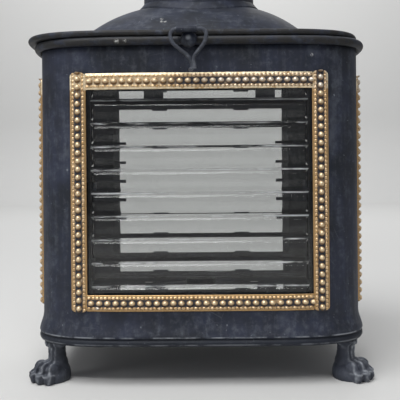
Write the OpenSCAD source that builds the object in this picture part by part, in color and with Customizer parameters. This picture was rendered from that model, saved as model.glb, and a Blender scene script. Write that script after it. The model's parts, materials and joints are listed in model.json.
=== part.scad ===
// Sheet-metal candle lantern with four trimmed windows, a hinged domed lid and lion-paw feet.
// Millimetres, +Z up. The front faces -Y and +X is to the right as seen from the front.
// The origin is on the ground, under the middle of the body.

/* [Body] */
// Width of the body, across the sheet
body_w = 240; // [224:1:260]
// Depth of the body, across the sheet
body_d = 172; // [164:1:190]
// Height of the body, from the underside of its foot to the top of its rim
body_h = 218.3; // [212:0.1:240]
// Squareness of the plan: 2 is an ellipse, and more is squarer
squareness = 5; // [4.6:0.1:6]
// Thickness of the sheet that body and lid are made of
sheet_t = 1; // [0.8:0.1:1.2]
// Diameter of the wire in the body's rolled rim
body_wire_d = 4.2; // [3.4:0.2:4.8]
// How far the foot of the body flares out
base_flare = 3.2; // [2.6:0.2:5]
// Height over which the foot flares
flare_h = 21; // [16:1:25]
// Radius of the roll at the foot of the body
base_roll_r = 3.9; // [3:0.1:4.5]

/* [Windows] */
// Width of the front opening
window_w = 160; // [140:1:166]
// Width of the back opening
back_window_w = 152; // [140:1:166]
// Width of the two side openings
side_window_w = 84; // [60:1:88]
// Height of all four openings
window_h = 145; // [120:1:150]
// Height of the sills above the underside of the body
sill_h = 36.5; // [34:0.5:42]
// Width of a strip of trim
trim_w = 11.5; // [8:0.5:12]
// Thickness of the trim's flat edge
trim_edge_t = 0.8; // [0.5:0.1:1.2]
// Height of the trim's rows of small beads
small_bead_h = 1.7; // [1.3:0.1:2.2]
// Height of the trim's row of large beads
large_bead_h = 3.2; // [2.6:0.1:3.6]
// How far the uprights run past the other strips
trim_overrun = 1.2; // [0:0.2:2]

/* [Glass] */
// Thickness of the ribbed front pane
front_glass_t = 6; // [5:0.5:7]
// Thickness of the plain panes
plain_glass_t = 3; // [2:0.5:4]
// How far a pane reaches past its opening
glass_lap = 6; // [4:0.5:7]
// Pitch of the flutes in the front pane
flute_pitch = 16.65; // [12:0.05:20]
// Radius of the flutes
flute_r = 16; // [14:0.5:20]
// Length of the flutes
flute_len = 149; // [120:1:152]
// Width of a bent tab that holds a pane
tab_w = 14; // [8:1:16]
// How far the front pane's upper and lower tabs stand off centre, to the right
front_tab_shift = 7.5; // [0:0.5:10]
// Thickness of a tab
tab_t = 0.8; // [0.6:0.1:1]
// How far a tab reaches over the glass
tab_reach = 12; // [9:0.5:14]

/* [Lid] */
// Gap between the closed lid's rim and the body's rim
lid_gap = 0.3; // [0.2:0.1:0.6]
// Diameter of the wire in the lid's rolled rim
lid_wire_d = 2.2; // [1.8:0.2:2.8]
// How far the lid sits off centre, to the left
lid_slip = 5; // [0:0.5:5.5]
// Height of the dome over the lid's rim, if it ran on to the middle
dome_h = 36; // [32:0.5:44]
// Fullness of the dome: 1 is a cone, and more is fuller
dome_fullness = 3; // [2:0.1:3.4]
// Squareness of the dome's own contours: 2 is an ellipse
dome_squareness = 2.3; // [2:0.1:3]
// Where the dome rises from the nearly level apron behind the lid's rim, as a share of the rim's distance
apron_share = 0.82; // [0.78:0.01:0.88]
// How far the apron rises from the rim to the dome
apron_rise = 3; // [1:0.5:4]
// How deep the skirt under the lid reaches into the body
skirt_h = 7; // [5:0.5:9]

/* [Chimney] */
// Diameter of the chimney
chimney_d = 90; // [80:1:96]
// Height of the chimney's top above the body's rim
chimney_h = 84; // [76:1:110]
// Thickness of the chimney, its straps and its cap
chimney_t = 0.8; // [0.6:0.1:1.2]
// Width of the collar round the foot of the chimney
collar_w = 4.3; // [3:0.1:6]
// Height of the collar
collar_h = 4; // [3:0.5:6]
// Diameter of the vent cap
cap_d = 112; // [104:1:120]
// Height of the vent cap
cap_h = 20; // [16:1:24]
// Fullness of the vent cap: 1 is a cone, and more is fuller
cap_fullness = 1.55; // [1.4:0.05:1.8]
// Gap between the chimney's top and the cap's edge
vent_gap = 7; // [5:1:12]
// Number of straps that carry the cap
strap_count = 4; // [3:1:6]

/* [Carrying ring] */
// Inner diameter of the carrying ring
ring_d = 55; // [50:1:60]
// Diameter of the ring's wire
ring_wire_d = 5; // [4:0.5:6]
// Angle below level at which the ring lies on the cap
ring_lie = 23; // [20:0.5:23]

/* [Feet] */
// Height of a foot, and of the body's underside above the ground
foot_h = 28.5; // [26:0.5:32]
// Length of a paw
paw_len = 34; // [30:1:38]
// Width of a paw
paw_w = 26; // [22:1:30]
// Radius of a paw's heel
heel_r = 7; // [6:0.2:7.6]
// Radius of a toe
toe_r = 4.2; // [3.4:0.2:4.6]
// Radius of the ankle
ankle_r = 6.2; // [5:0.2:7]
// Radius of the leaf-shaped bracket over the ankle, under the body
bracket_r = 9.5; // [8:0.5:11]
// Distance of a foot's stud from the body's middle, as a share of the plan's corner
foot_place = 0.85; // [0.8:0.01:0.88]
// Diameter of the stud on top of a foot
stud_d = 4; // [3:0.5:5]

/* [Candle] */
// Diameter of the candle that the socket takes
candle_d = 22; // [19:0.5:24]
// Depth of the socket
socket_depth = 22; // [18:1:24]
// Diameter of the candle pan
pan_d = 80; // [60:1:100]

/* [Hasp] */
// Distance of the hasp from the body's middle, to the left
hasp_x = 6.5; // [0:0.5:20]
// Diameter of the loop's wire
loop_wire_d = 2.8; // [2:0.1:3]
// Width of the loop between its wire's centres
loop_w = 25; // [24:0.5:32]
// Depth of the loop from its pivot to where its legs meet
loop_drop = 19; // [18:0.5:22]
// Length of the tail below that
tail_len = 10.5; // [6:0.5:12]
// Diameter of the knob
knob_d = 11.5; // [8:0.5:12]

/* [Hinge] */
// Length of the hinge
hinge_len = 50; // [40:1:60]
// Diameter of the hinge pin
hinge_pin_d = 3.5; // [3:0.25:4]
// Thickness of the hinge leaves
leaf_t = 1.2; // [1:0.1:1.5]

/* [Hidden] */

zinc = "#3c434c";
dark_iron = "#343b44";
brass = "#b98a4e";
clear_glass = [0.75, 0.85, 0.83, 0.35];
bare_steel = "#7c7f82";

half_w = body_w / 2;
half_d = body_d / 2;
stations = 60;
roll_step = 30;
round_fn = 48;
running_clearance = 0.05;
free_gap = 0.5;

base_z = foot_h;
rim_z = base_z + body_h;
body_roll_r = body_wire_d / 2 + sheet_t;
body_roll_z = rim_z - body_roll_r;
body_roll_off = body_wire_d / 2;
rim_reach = 2 * body_roll_r - sheet_t;

sill_z = base_z + sill_h;
head_z = sill_z + window_h;
mid_z = sill_z + window_h / 2;

lid_z = rim_z + lid_gap;
lid_roll_r = lid_wire_d / 2 + sheet_t;
lid_roll_z = lid_z + lid_roll_r;
lid_inset = 0.2;
lid_roll_off = rim_reach - lid_inset - lid_roll_r;
dome_z = lid_z + 2 * sheet_t;
skirt_rho = 0.93;
dome_rings = [skirt_rho, apron_share, 0.74, 0.65, 0.55, 0.43, 0.30];
dome_drop = 1.3 * sheet_t;
over_lid_roll = [half_d + lid_roll_off, lid_roll_z + lid_roll_r + 0.1];

chimney_r = chimney_d / 2;
chimney_top = rim_z + chimney_h;
cap_z = chimney_top + vent_gap;
cap_r = cap_d / 2;
cap_edge_r = 1.8;

// Plan of the body: a superellipse, which has bowed sides and round corners in one curve. The lid's
// contours are rounder inside its apron, so the plan takes the share of the rim's distance as well.
function signed_pow(v, e) = sign(v) * pow(abs(v), e);
function unit(v) = v / norm(v);
function ring_squareness(rho) =
    dome_squareness + (squareness - dome_squareness) * pow(max(0, rho - apron_share) / (1 - apron_share), 1.5);
function plan_base(t, n = squareness) =
    [half_w * signed_pow(cos(t), 2 / n), half_d * signed_pow(sin(t), 2 / n)];
function plan_normal(t) =
    unit([signed_pow(cos(t), 2 - 2 / squareness) / half_w, signed_pow(sin(t), 2 - 2 / squareness) / half_d]);
function plan_point(t, off, rho = 1) = rho * plan_base(t, ring_squareness(rho)) + off * plan_normal(t);
function plan_outline(off) = [for (i = [0 : stations - 1]) plan_point(i * 360 / stations, off)];

// Half-depth of the plan at a distance u from its middle, on walls that are long or short
function wall_at(u, long_half, deep_half) =
    deep_half * pow(1 - pow(abs(u) / long_half, squareness), 1 / squareness);

// The dome inside the apron: how far out a point lies, as a share of the rim's distance, and the lid's
// height at such a share
function plan_share(x, y) =
    pow(pow(abs(x) / half_w, dome_squareness) + pow(abs(y) / half_d, dome_squareness), 1 / dome_squareness);
function dome_rho(x, y) =
    let (first = plan_share(x, y), second = plan_share(x + lid_slip * first * first, y))
    plan_share(x + lid_slip * second * second, y);
function dome_height(rho) =
    rho > apron_share ? dome_z + apron_rise * (1 - rho) / (1 - apron_share)
    : dome_z + apron_rise + (dome_h - apron_rise) * (1 - pow(rho / apron_share, dome_fullness));

function arc_points(centre, r, from, to, steps) =
    [for (i = [0 : steps]) let (a = from + (to - from) * i / steps) centre + r * [cos(a), sin(a)]];

module plan_shape(off) {
    polygon(plan_outline(off));
}

// Sweeps a closed profile of [offset, height, share] round the plan; slip moves it left by its share squared
module plan_sweep(profile, slip = 0) {
    m = len(profile);
    points = [
        for (i = [0 : stations - 1], p = profile)
        let (rho = is_undef(p[2]) ? 1 : p[2], q = plan_point(i * 360 / stations, p[0], rho))
        [q[0] - slip * rho * rho, q[1], p[1]]
    ];
    faces = [
        for (i = [0 : stations - 1], j = [0 : m - 1])
        let (
            a = i * m + j,
            b = i * m + (j + 1) % m,
            c = (i + 1) % stations * m + (j + 1) % m,
            d = (i + 1) % stations * m + j
        )
        each [[a, b, c], [a, c, d]]
    ];
    polyhedron(points, faces, convexity = 10);
}

// Sweeps a round wire along a path of points, with flat ends
module wire_sweep(path, d, sides = 8) {
    n = len(path);
    dirs = [for (i = [0 : n - 1]) unit(path[min(i + 1, n - 1)] - path[max(i - 1, 0)])];
    side = [0, 1, 0];
    points = [
        for (i = [0 : n - 1], k = [0 : sides - 1])
        let (a = k * 360 / sides)
        path[i] + d / 2 * (cos(a) * side + sin(a) * unit(cross(dirs[i], side)))
    ];
    faces = [
        [for (k = [0 : sides - 1]) k],
        [for (k = [sides - 1 : -1 : 0]) (n - 1) * sides + k],
        for (i = [0 : n - 2], k = [0 : sides - 1])
        let (
            a = i * sides + k,
            b = i * sides + (k + 1) % sides,
            c = (i + 1) * sides + (k + 1) % sides,
            e = (i + 1) * sides + k
        )
        each [[a, e, c], [a, c, b]]
    ];
    polyhedron(points, faces, convexity = 6);
}

// A cylinder along X, between two places on it
module rod_x(r, x0, x1) {
    translate([x0, 0, 0]) rotate([0, 90, 0]) cylinder(h = x1 - x0, r = r, $fn = round_fn);
}

// A cylinder along Z that cuts right through a plate standing on the level
module hole_z(r, t) {
    translate([0, 0, -1]) cylinder(h = t + 2, r = r, $fn = round_fn);
}

// A round shank along Z, from z0 to z1
module rod_z(r, z0, z1) {
    translate([0, 0, z0]) cylinder(h = z1 - z0, r = r, $fn = round_fn);
}

// A rivet's formed head, standing at z
module rivet_head(d, z, h) {
    translate([0, 0, z]) cylinder(h = h, d1 = 2 * d, d2 = 1.2 * d, $fn = round_fn);
}

// A side profile of [y, z] points, drawn out along X
module profile_x(points, x0, x1) {
    translate([x0, 0, 0]) rotate([90, 0, 90]) linear_extrude(x1 - x0) polygon(points);
}

// Body

module body_shell() {
    flare_top = base_z + flare_h;
    roll_centre = [base_flare - base_roll_r, base_z + base_roll_r];
    flare_steps = 4;
    flare_low = base_z + base_roll_r + 1.5;
    outer_flare = [
        for (i = [0 : flare_steps])
        let (s = 1 - i / flare_steps)
        [base_flare * s * s, flare_low + (flare_top - flare_low) * (1 - s)]
    ];
    inner_flare = [for (i = [flare_steps : -1 : 0]) outer_flare[i] - [sheet_t, 0]];
    wire_centre = [body_roll_off, body_roll_z];
    curl_steps = 300 / roll_step;
    profile = concat(
        [[-sheet_t, base_z]],
        arc_points(roll_centre, base_roll_r, -90, 0, 4),
        outer_flare,
        arc_points(wire_centre, body_wire_d / 2, 180, -120, curl_steps),
        arc_points(wire_centre, body_roll_r, -120, 180, curl_steps),
        inner_flare,
        arc_points(roll_centre, base_roll_r - sheet_t, 0, -90, 4),
        [[-sheet_t, base_z + sheet_t]]
    );
    color(zinc) difference() {
        plan_sweep(profile);
        translate([0, -body_d / 2, mid_z]) cube([window_w, body_d, window_h], center = true);
        translate([0, body_d / 2, mid_z]) cube([back_window_w, body_d, window_h], center = true);
        translate([0, 0, mid_z]) cube([2 * body_w, side_window_w, window_h], center = true);
        body_rivet_shanks();
    }
}

module body_rim_wire() {
    color(bare_steel)
        plan_sweep(arc_points([body_roll_off, body_roll_z], body_wire_d / 2, -150, 180, 330 / roll_step));
}

// Base plate, with a stud hole at each foot and a ring of air holes round the candle pan
air_hole_r = 4;
air_holes = 8;
air_ring_r = pan_d / 2 + air_hole_r + 5;
stud_gap = 0.2;
foot_spread = 17.4;
function foot_xy(sx, sy) =
    let (corner = plan_base(45)) [sx * (corner[0] * foot_place + foot_spread), sy * corner[1] * foot_place];

module base_plate() {
    color(zinc) translate([0, 0, base_z]) difference() {
        linear_extrude(sheet_t) plan_shape(-sheet_t);
        for (sx = [-1, 1], sy = [-1, 1])
            translate(foot_xy(sx, sy)) hole_z(stud_d / 2 + stud_gap, sheet_t);
        for (i = [0 : air_holes - 1])
            rotate([0, 0, (i + 0.5) * 360 / air_holes])
                translate([air_ring_r, 0]) hole_z(air_hole_r, sheet_t);
        hole_z(candle_rivet_d / 2, sheet_t);
    }
}

// Windows

// A pad on the outside of one wall, from u0 to u1 along it and from z0 to z1
module wall_pad(side, u0, u1, z0, z1, t) {
    far = body_w;
    translate([0, 0, z0]) linear_extrude(z1 - z0) intersection() {
        difference() {
            plan_shape(t);
            plan_shape(0);
        }
        if (side == "front") translate([u0, -far]) square([u1 - u0, far]);
        if (side == "back") translate([u0, 0]) square([u1 - u0, far]);
        if (side == "left") translate([-far, u0]) square([far, u1 - u0]);
        if (side == "right") translate([0, u0]) square([far, u1 - u0]);
    }
}

// Shares of a strip's width that its raised rows leave bare at each edge
small_row_inset = 0.12;
large_row_inset = 0.29;

// The steps of a strip, as [inset from each edge, height]
trim_steps = [
    [0, trim_edge_t],
    [small_row_inset * trim_w, small_bead_h],
    [large_row_inset * trim_w, large_bead_h]
];

module level_strip(side, half, z0) {
    color(brass) for (step = trim_steps)
        wall_pad(side, -half, half, z0 + step[0], z0 + trim_w - step[0], step[1]);
}

module upright_strip(side, u0) {
    z0 = sill_z - trim_w - trim_overrun;
    z1 = head_z + trim_w + trim_overrun;
    color(brass) for (step = trim_steps)
        wall_pad(side, u0 + step[0], u0 + trim_w - step[0], z0, z1, step[1]);
}

module top_strip(side, half) {
    level_strip(side, half, head_z);
}

module bottom_strip(side, half) {
    level_strip(side, half, sill_z - trim_w);
}

// Glass: each pane stands just inside its wall, clear of the bow of the sheet at the pane's edges
pane_h = window_h + 2 * glass_lap;
front_pane_w = window_w + 2 * glass_lap;
back_pane_w = back_window_w + 2 * glass_lap;
side_pane_w = side_window_w + 2 * glass_lap;
pane_clearance = 0.3;
front_pane_y = wall_at(front_pane_w / 2, half_w, half_d) - 1.15 * sheet_t - pane_clearance;
back_pane_y = wall_at(back_pane_w / 2, half_w, half_d) - 1.15 * sheet_t - pane_clearance;
side_pane_x = wall_at(side_pane_w / 2, half_d, half_w) - 1.05 * sheet_t - pane_clearance;

module pane(face, w, t) {
    translate([-w / 2, -face, mid_z - pane_h / 2]) cube([w, t, pane_h]);
}

module front_glass() {
    depth = sqrt(pow(flute_r, 2) - pow(flute_pitch / 2, 2));
    back = -front_pane_y + front_glass_t;
    rows = ceil(pane_h / flute_pitch / 2) * 2;
    color(clear_glass) difference() {
        pane(front_pane_y, front_pane_w, front_glass_t);
        for (i = [0 : rows - 1])
            translate([0, back + depth, mid_z + (i - (rows - 1) / 2) * flute_pitch])
                rod_x(flute_r, -flute_len / 2, flute_len / 2);
    }
}

module back_glass() {
    color(clear_glass) rotate([0, 0, 180]) pane(back_pane_y, back_pane_w, plain_glass_t);
}

module side_glass(turn) {
    color(clear_glass) rotate([0, 0, turn]) pane(side_pane_x, side_pane_w, plain_glass_t);
}

// Six bent tabs round one pane, in the frame of a front wall, cut where they meet the sheet
module glass_tabs(turn, face, wall, pane_w, pane_t, spacing, shift = 0) {
    back = -face + pane_t;
    top = mid_z + pane_h / 2;
    far = wall + 5;
    foot = 10;
    color(zinc) intersection() {
        rotate([0, 0, turn]) {
            for (flip = [0, 1], u = [shift - spacing, shift + spacing])
                translate([0, 0, flip * 2 * mid_z]) mirror([0, 0, flip]) translate([u - tab_w / 2, 0, 0]) {
                    translate([0, -far, top]) cube([tab_w, far + back + tab_t, tab_t]);
                    translate([0, back, top - tab_reach]) cube([tab_w, tab_t, tab_reach + tab_t]);
                    translate([0, -far, top]) cube([tab_w, far - wall + sheet_t + tab_t, foot]);
                }
            for (flip = [0, 1]) mirror([flip, 0, 0]) translate([pane_w / 2, 0, mid_z - tab_w / 2]) {
                translate([0, -far, 0]) cube([tab_t, far + back + tab_t, tab_w]);
                translate([-tab_reach, back, 0]) cube([tab_reach + tab_t, tab_t, tab_w]);
            }
        }
        translate([0, 0, base_z]) linear_extrude(body_h) plan_shape(-sheet_t);
    }
}

// Feet

// One lion's paw, pointing along +X, with its stud on the Z axis
module paw() {
    toes = 4;
    toe_gap = (paw_w - 2 * toe_r) / (toes - 1);
    heel_x = -0.8 * heel_r;
    tip_x = heel_x - heel_r + paw_len - toe_r;
    ball_x = tip_x - 2 * toe_r;
    ball_y = paw_w / 2 - ankle_r;
    ankle_z = 0.42 * foot_h;
    neck_r = 0.9 * ankle_r;
    sole_cut = 0.15;
    ball_fn = 18;
    difference() {
        union() {
            hull() {
                translate([heel_x, 0, (1 - sole_cut) * heel_r]) sphere(heel_r, $fn = ball_fn);
                translate([-1, 0, ankle_z]) sphere(ankle_r, $fn = ball_fn);
                for (s = [-1, 1]) translate([ball_x, s * ball_y, ankle_r]) sphere(ankle_r, $fn = ball_fn);
            }
            for (i = [0 : toes - 1])
                let (place = i - (toes - 1) / 2, y = place * toe_gap, x = tip_x - 0.3 * toe_r * pow(place, 2))
                    hull() {
                        translate([x - 1.2 * toe_r, 0.88 * y, 2.1 * toe_r]) sphere(toe_r, $fn = ball_fn);
                        translate([x, y, (1 - sole_cut) * toe_r]) sphere(toe_r, $fn = ball_fn);
                    }
            hull() {
                translate([-1, 0, ankle_z]) sphere(ankle_r, $fn = ball_fn);
                translate([0, 0, 0.7 * foot_h]) cylinder(h = 3, r = neck_r, $fn = ball_fn);
            }
            hull() {
                translate([0, 0, 0.76 * foot_h]) cylinder(h = 1, r = neck_r, $fn = ball_fn);
                translate([-1, 0, foot_h - 2]) cylinder(h = 2, r = bracket_r, $fn = ball_fn);
            }
        }
        translate([-paw_len, -paw_len, -foot_h]) cube([2 * paw_len, 2 * paw_len, foot_h]);
    }
    translate([0, 0, foot_h - 1]) cylinder(h = 1 + sheet_t + nut_h + 1, d = stud_d, $fn = round_fn);
}

nut_h = 2.4;
nut_af = 7;

module foot(sx, sy) {
    color(dark_iron) translate(foot_xy(sx, sy)) rotate([0, 0, atan2(sy, sx)]) paw();
}

module foot_nuts() {
    color(bare_steel) for (sx = [-1, 1], sy = [-1, 1])
        translate(concat(foot_xy(sx, sy), base_z + sheet_t)) difference() {
            cylinder(h = nut_h, d = nut_af / cos(30), $fn = 6);
            translate([0, 0, -1]) cylinder(h = nut_h + 2, d = stud_d, $fn = round_fn);
        }
}

// Candle holder
candle_rivet_d = 4;
pan_z = base_z + sheet_t;
pan_rim_h = 5;
socket_wall = 1;
socket_floor = 1.6;
socket_bore_r = candle_d / 2 + 0.25;
socket_z = pan_z + chimney_t;

module candle_pan() {
    r = pan_d / 2;
    color(zinc) translate([0, 0, pan_z]) rotate_extrude($fn = round_fn) polygon([
        [candle_rivet_d / 2, 0],
        [r - 4, 0],
        [r, pan_rim_h],
        [r - chimney_t, pan_rim_h],
        [r - 4 - chimney_t / 2, chimney_t],
        [candle_rivet_d / 2, chimney_t]
    ]);
}

module candle_socket() {
    color(zinc) translate([0, 0, socket_z]) difference() {
        cylinder(h = socket_floor + socket_depth, r = socket_bore_r + socket_wall, $fn = round_fn);
        translate([0, 0, socket_floor]) cylinder(h = socket_depth + 1, r = socket_bore_r, $fn = round_fn);
        hole_z(candle_rivet_d / 2, socket_floor);
        cylinder(h = socket_floor, d1 = candle_rivet_d, d2 = 2 * candle_rivet_d, $fn = round_fn);
    }
}

module candle_rivet() {
    color(bare_steel) {
        rod_z(candle_rivet_d / 2, base_z, socket_z + socket_floor);
        translate([0, 0, socket_z])
            cylinder(h = socket_floor, d1 = candle_rivet_d, d2 = 2 * candle_rivet_d, $fn = round_fn);
        rod_z(candle_rivet_d, base_z - 1, base_z);
    }
}

// Hinge, along X at the back, level with the gap between the two rims
knuckle_wall = 1.65;
knuckle_r = hinge_pin_d / 2 + knuckle_wall;
rim_clearance = 0.6;
hinge_y = half_d + rim_reach + rim_clearance + knuckle_r;
hinge_z = rim_z + lid_gap / 2;
mid_knuckle = hinge_len / 2;
knuckle_gap = 0.4;
lid_knuckle = mid_knuckle - 2 * knuckle_gap;
rivet_d = 3;
rivet_x = hinge_len * 0.3;
leaf_gap = 0.7;
leaf_foot_z = head_z + trim_w + leaf_gap;
body_rivet_z = leaf_foot_z + 2 * rivet_d;
rivet_head_h = 1.2;

module body_rivet_shanks() {
    for (s = [-1, 1])
        translate([s * rivet_x, half_d - sheet_t - 2, body_rivet_z])
            rotate([-90, 0, 0]) cylinder(h = sheet_t + leaf_t + 4, d = rivet_d, $fn = round_fn);
}

module hinge_body_leaf() {
    bend_z = body_roll_z - body_roll_r - 4.4;
    color(zinc) difference() {
        union() {
            profile_x([
                [half_d - 1, leaf_foot_z],
                [half_d + leaf_t, leaf_foot_z],
                [half_d + leaf_t, bend_z - 0.6],
                [hinge_y + 2.3, hinge_z - 2.1],
                [hinge_y - 0.2, hinge_z - 2.1],
                [half_d - 1, bend_z - 0.3]
            ], -hinge_len / 2, hinge_len / 2);
            translate([0, hinge_y, hinge_z]) rod_x(knuckle_r, -hinge_len / 2, hinge_len / 2);
        }
        translate([0, hinge_y, hinge_z]) rod_x(knuckle_r + free_gap, -mid_knuckle / 2, mid_knuckle / 2);
        translate([0, hinge_y, hinge_z]) rod_x(hinge_pin_d / 2, -hinge_len, hinge_len);
        linear_extrude(2 * rim_z) plan_shape(0);
        body_rivet_shanks();
    }
}

module hinge_pin() {
    color(bare_steel) translate([0, hinge_y, hinge_z])
        rod_x(hinge_pin_d / 2, -hinge_len / 2 - 1.5, hinge_len / 2 + 1.5);
}

module hinge_body_rivets() {
    inside = half_d - sheet_t - 0.12;
    color(bare_steel) for (s = [-1, 1]) translate([s * rivet_x, 0, body_rivet_z]) rotate([-90, 0, 0]) {
        rod_z(0.85 * rivet_d, inside - 1, inside);
        rod_z(rivet_d / 2, inside - 1, half_d + leaf_t + 0.5);
        rivet_head(rivet_d, half_d + leaf_t, rivet_head_h);
    }
}

// Side profile of a strap that lies on the dome at the given points and ends over a knuckle at [y, z]
function dome_point(ring) = [dome_rings[ring] * half_d, dome_height(dome_rings[ring])];
strap_over = [0.7, 0.95];
function dome_strap(under, y, z, t) =
    let (over = strap_over * t, last = len(under) - 1)
    concat(under, [[y, z], [y, z] + over], [for (i = [last : -1 : 0]) under[i] + over]);

lid_rivet_mid = (dome_rings[1] + dome_rings[2]) / 2 * half_d;
lid_rivet_z = (dome_height(dome_rings[1]) + dome_height(dome_rings[2])) / 2;
lid_rivet_tilt = atan2(
    dome_height(dome_rings[2]) - dome_height(dome_rings[1]),
    (dome_rings[1] - dome_rings[2]) * half_d
);
lid_leaf_top = leaf_t * strap_over * [sin(lid_rivet_tilt), cos(lid_rivet_tilt)];
dome_fall = 0.8;
dome_inside = -dome_drop * cos(lid_rivet_tilt) - dome_fall - 0.1;

// Places its children on the dome's back slope, with +Z along the slope's outward normal
module on_lid_rivets() {
    for (s = [-1, 1])
        translate([s * rivet_x, lid_rivet_mid, lid_rivet_z]) rotate([-lid_rivet_tilt, 0, 0]) children();
}

module hinge_lid_leaf() {
    on_dome = concat([for (ring = [2, 1, 0]) dome_point(ring)], [over_lid_roll]);
    bend_z = hinge_z + 0.85 * knuckle_r;
    color(zinc) difference() {
        union() {
            profile_x(dome_strap(on_dome, hinge_y, bend_z, leaf_t), -hinge_len / 2, hinge_len / 2);
            translate([0, hinge_y, hinge_z]) rod_x(knuckle_r, -lid_knuckle / 2, lid_knuckle / 2);
        }
        for (s = [-1, 1]) translate([s * hinge_len / 2, hinge_y, hinge_z])
            rod_x(knuckle_r + free_gap, -(hinge_len - lid_knuckle) / 2, (hinge_len - lid_knuckle) / 2);
        translate([0, hinge_y, hinge_z]) rod_x(hinge_pin_d / 2 + running_clearance, -hinge_len, hinge_len);
        on_lid_rivets() translate([0, 0, -5]) cylinder(h = 10, d = rivet_d, $fn = round_fn);
    }
}

module hinge_lid_rivets() {
    color(bare_steel) on_lid_rivets() {
        rod_z(0.85 * rivet_d, dome_inside - 1, dome_inside);
        rod_z(rivet_d / 2, dome_inside - 1, lid_leaf_top + 0.5);
        rivet_head(rivet_d, lid_leaf_top, rivet_head_h);
    }
}

// Lid

module lid_dome() {
    wire_centre = [lid_roll_off, lid_roll_z];
    curl_steps = 270 / roll_step;
    flange_in = -1.2 * sheet_t;
    profile = concat(
        [for (rho = dome_rings) [0, dome_height(rho), rho]],
        [for (i = [len(dome_rings) - 1 : -1 : 0]) [0, dome_height(dome_rings[i]) - dome_drop, dome_rings[i]]],
        [[flange_in - sheet_t, lid_z]],
        arc_points(wire_centre, lid_roll_r, -90, 180, curl_steps),
        arc_points(wire_centre, lid_wire_d / 2, 180, -90, curl_steps),
        [[flange_in + 0.6, lid_z + sheet_t], [flange_in, dome_z]]
    );
    color(zinc) difference() {
        plan_sweep(profile, lid_slip);
        translate([0, 0, lid_z - 1]) cylinder(h = dome_h + 10, r = chimney_r, $fn = 96);
        on_lid_rivets() translate([0, 0, -5]) cylinder(h = 10, d = rivet_d, $fn = round_fn);
    }
}

module lid_rim_wire() {
    wire = arc_points([lid_roll_off, lid_roll_z], lid_wire_d / 2, -150, 180, 330 / roll_step);
    color(bare_steel) plan_sweep(wire, lid_slip);
}

module lid_skirt() {
    top = dome_height(skirt_rho) - dome_drop;
    color(zinc) plan_sweep([
        [0, rim_z - skirt_h, skirt_rho],
        [0, top, skirt_rho],
        [-sheet_t, top, skirt_rho],
        [-sheet_t, rim_z - skirt_h, skirt_rho]
    ], lid_slip);
}

// Chimney: a tube through the dome, with a collar that follows the dome round its foot
module chimney() {
    foot_z = dome_height(plan_share(0, chimney_r)) - dome_drop - 4;
    color(zinc) translate([0, 0, foot_z]) difference() {
        cylinder(h = chimney_top - foot_z, r = chimney_r, $fn = 96);
        translate([0, 0, -1]) cylinder(h = chimney_top - foot_z + 2, r = chimney_r - chimney_t, $fn = 96);
    }
}

module chimney_collar() {
    turns = 60;
    lift = 0.15;
    section = [[0, 0], [collar_w, 0], [collar_w, 0.9], [2, collar_h - 1.2], [0.9, collar_h], [0, collar_h]];
    m = len(section);
    points = [
        for (i = [0 : turns - 1], p = section)
        let (a = i * 360 / turns, r = chimney_r + 0.1 + p[0])
        [r * cos(a), r * sin(a), dome_height(dome_rho(r * cos(a), r * sin(a))) + lift + p[1]]
    ];
    faces = [
        for (i = [0 : turns - 1], j = [0 : m - 1])
        let (k = (j + 1) % m, next = (i + 1) % turns * m)
        each [[i * m + j, i * m + k, next + k], [i * m + j, next + k, next + j]]
    ];
    color(zinc) polyhedron(points, faces, convexity = 6);
}

// Height of the cap's upper surface at radius r
function cap_height(r) = cap_z + cap_h * (1 - pow(r / cap_r, cap_fullness));

module vent_cap() {
    steps = 8;
    radii = [for (i = [0 : steps]) cap_r * (1 - i / steps)];
    color(zinc) rotate_extrude($fn = 96) union() {
        polygon(concat(
            [for (r = radii) [r, cap_height(r)]],
            [for (i = [steps : -1 : 0]) [radii[i], cap_height(radii[i]) - chimney_t]]
        ));
        translate([cap_r - cap_edge_r, cap_z - chimney_t]) circle(cap_edge_r, $fn = 24);
    }
}

module cap_straps() {
    strap_deg = 12;
    foot = 16;
    inner_r = chimney_r;
    outer_r = chimney_r + chimney_t + 0.4;
    color(zinc) for (i = [0 : strap_count - 1])
        rotate([0, 0, (i + 0.5) * 360 / strap_count - strap_deg / 2])
            rotate_extrude(angle = strap_deg, $fn = 96) polygon([
                [inner_r, chimney_top - foot],
                [outer_r, chimney_top - foot],
                [outer_r, cap_height(outer_r) - chimney_t - 0.15],
                [inner_r, cap_height(outer_r) - chimney_t - 0.15]
            ]);
}

// Ring lug, with its eye along X
ring_r = ring_d / 2 + ring_wire_d / 2;
lug_z = cap_height(0);
lug_w = 5;
lug_wall = 2.4;
eye_r = ring_wire_d / 2 + 0.4;
eye_z = lug_z + eye_r + lug_wall + 2.2;

module ring_lug() {
    color(zinc) difference() {
        union() {
            translate([0, 0, lug_z - 0.6]) cylinder(h = 2, r = 9, $fn = round_fn);
            translate([0, 0, eye_z]) rod_x(eye_r + lug_wall, -lug_w / 2, lug_w / 2);
            translate([-lug_w / 2, -eye_r - lug_wall, lug_z - 0.6])
                cube([lug_w, 2 * (eye_r + lug_wall), eye_z - lug_z + 0.6]);
        }
        translate([0, 0, eye_z]) rod_x(eye_r, -lug_w, lug_w);
        translate([0, 0, lug_z - cap_h]) rotate_extrude($fn = 96) polygon([
            [0, 0],
            [cap_r / 4, 0],
            [cap_r / 4, cap_height(cap_r / 4) - lug_z + cap_h],
            [cap_r / 8, cap_height(cap_r / 8) - lug_z + cap_h],
            [0, cap_h]
        ]);
    }
}

module carry_ring() {
    color(zinc) translate([0, 0, eye_z]) rotate([-ring_lie, 0, 0]) translate([0, ring_r, 0])
        rotate_extrude($fn = 96) translate([ring_r, 0]) circle(ring_wire_d / 2, $fn = 24);
}

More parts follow.
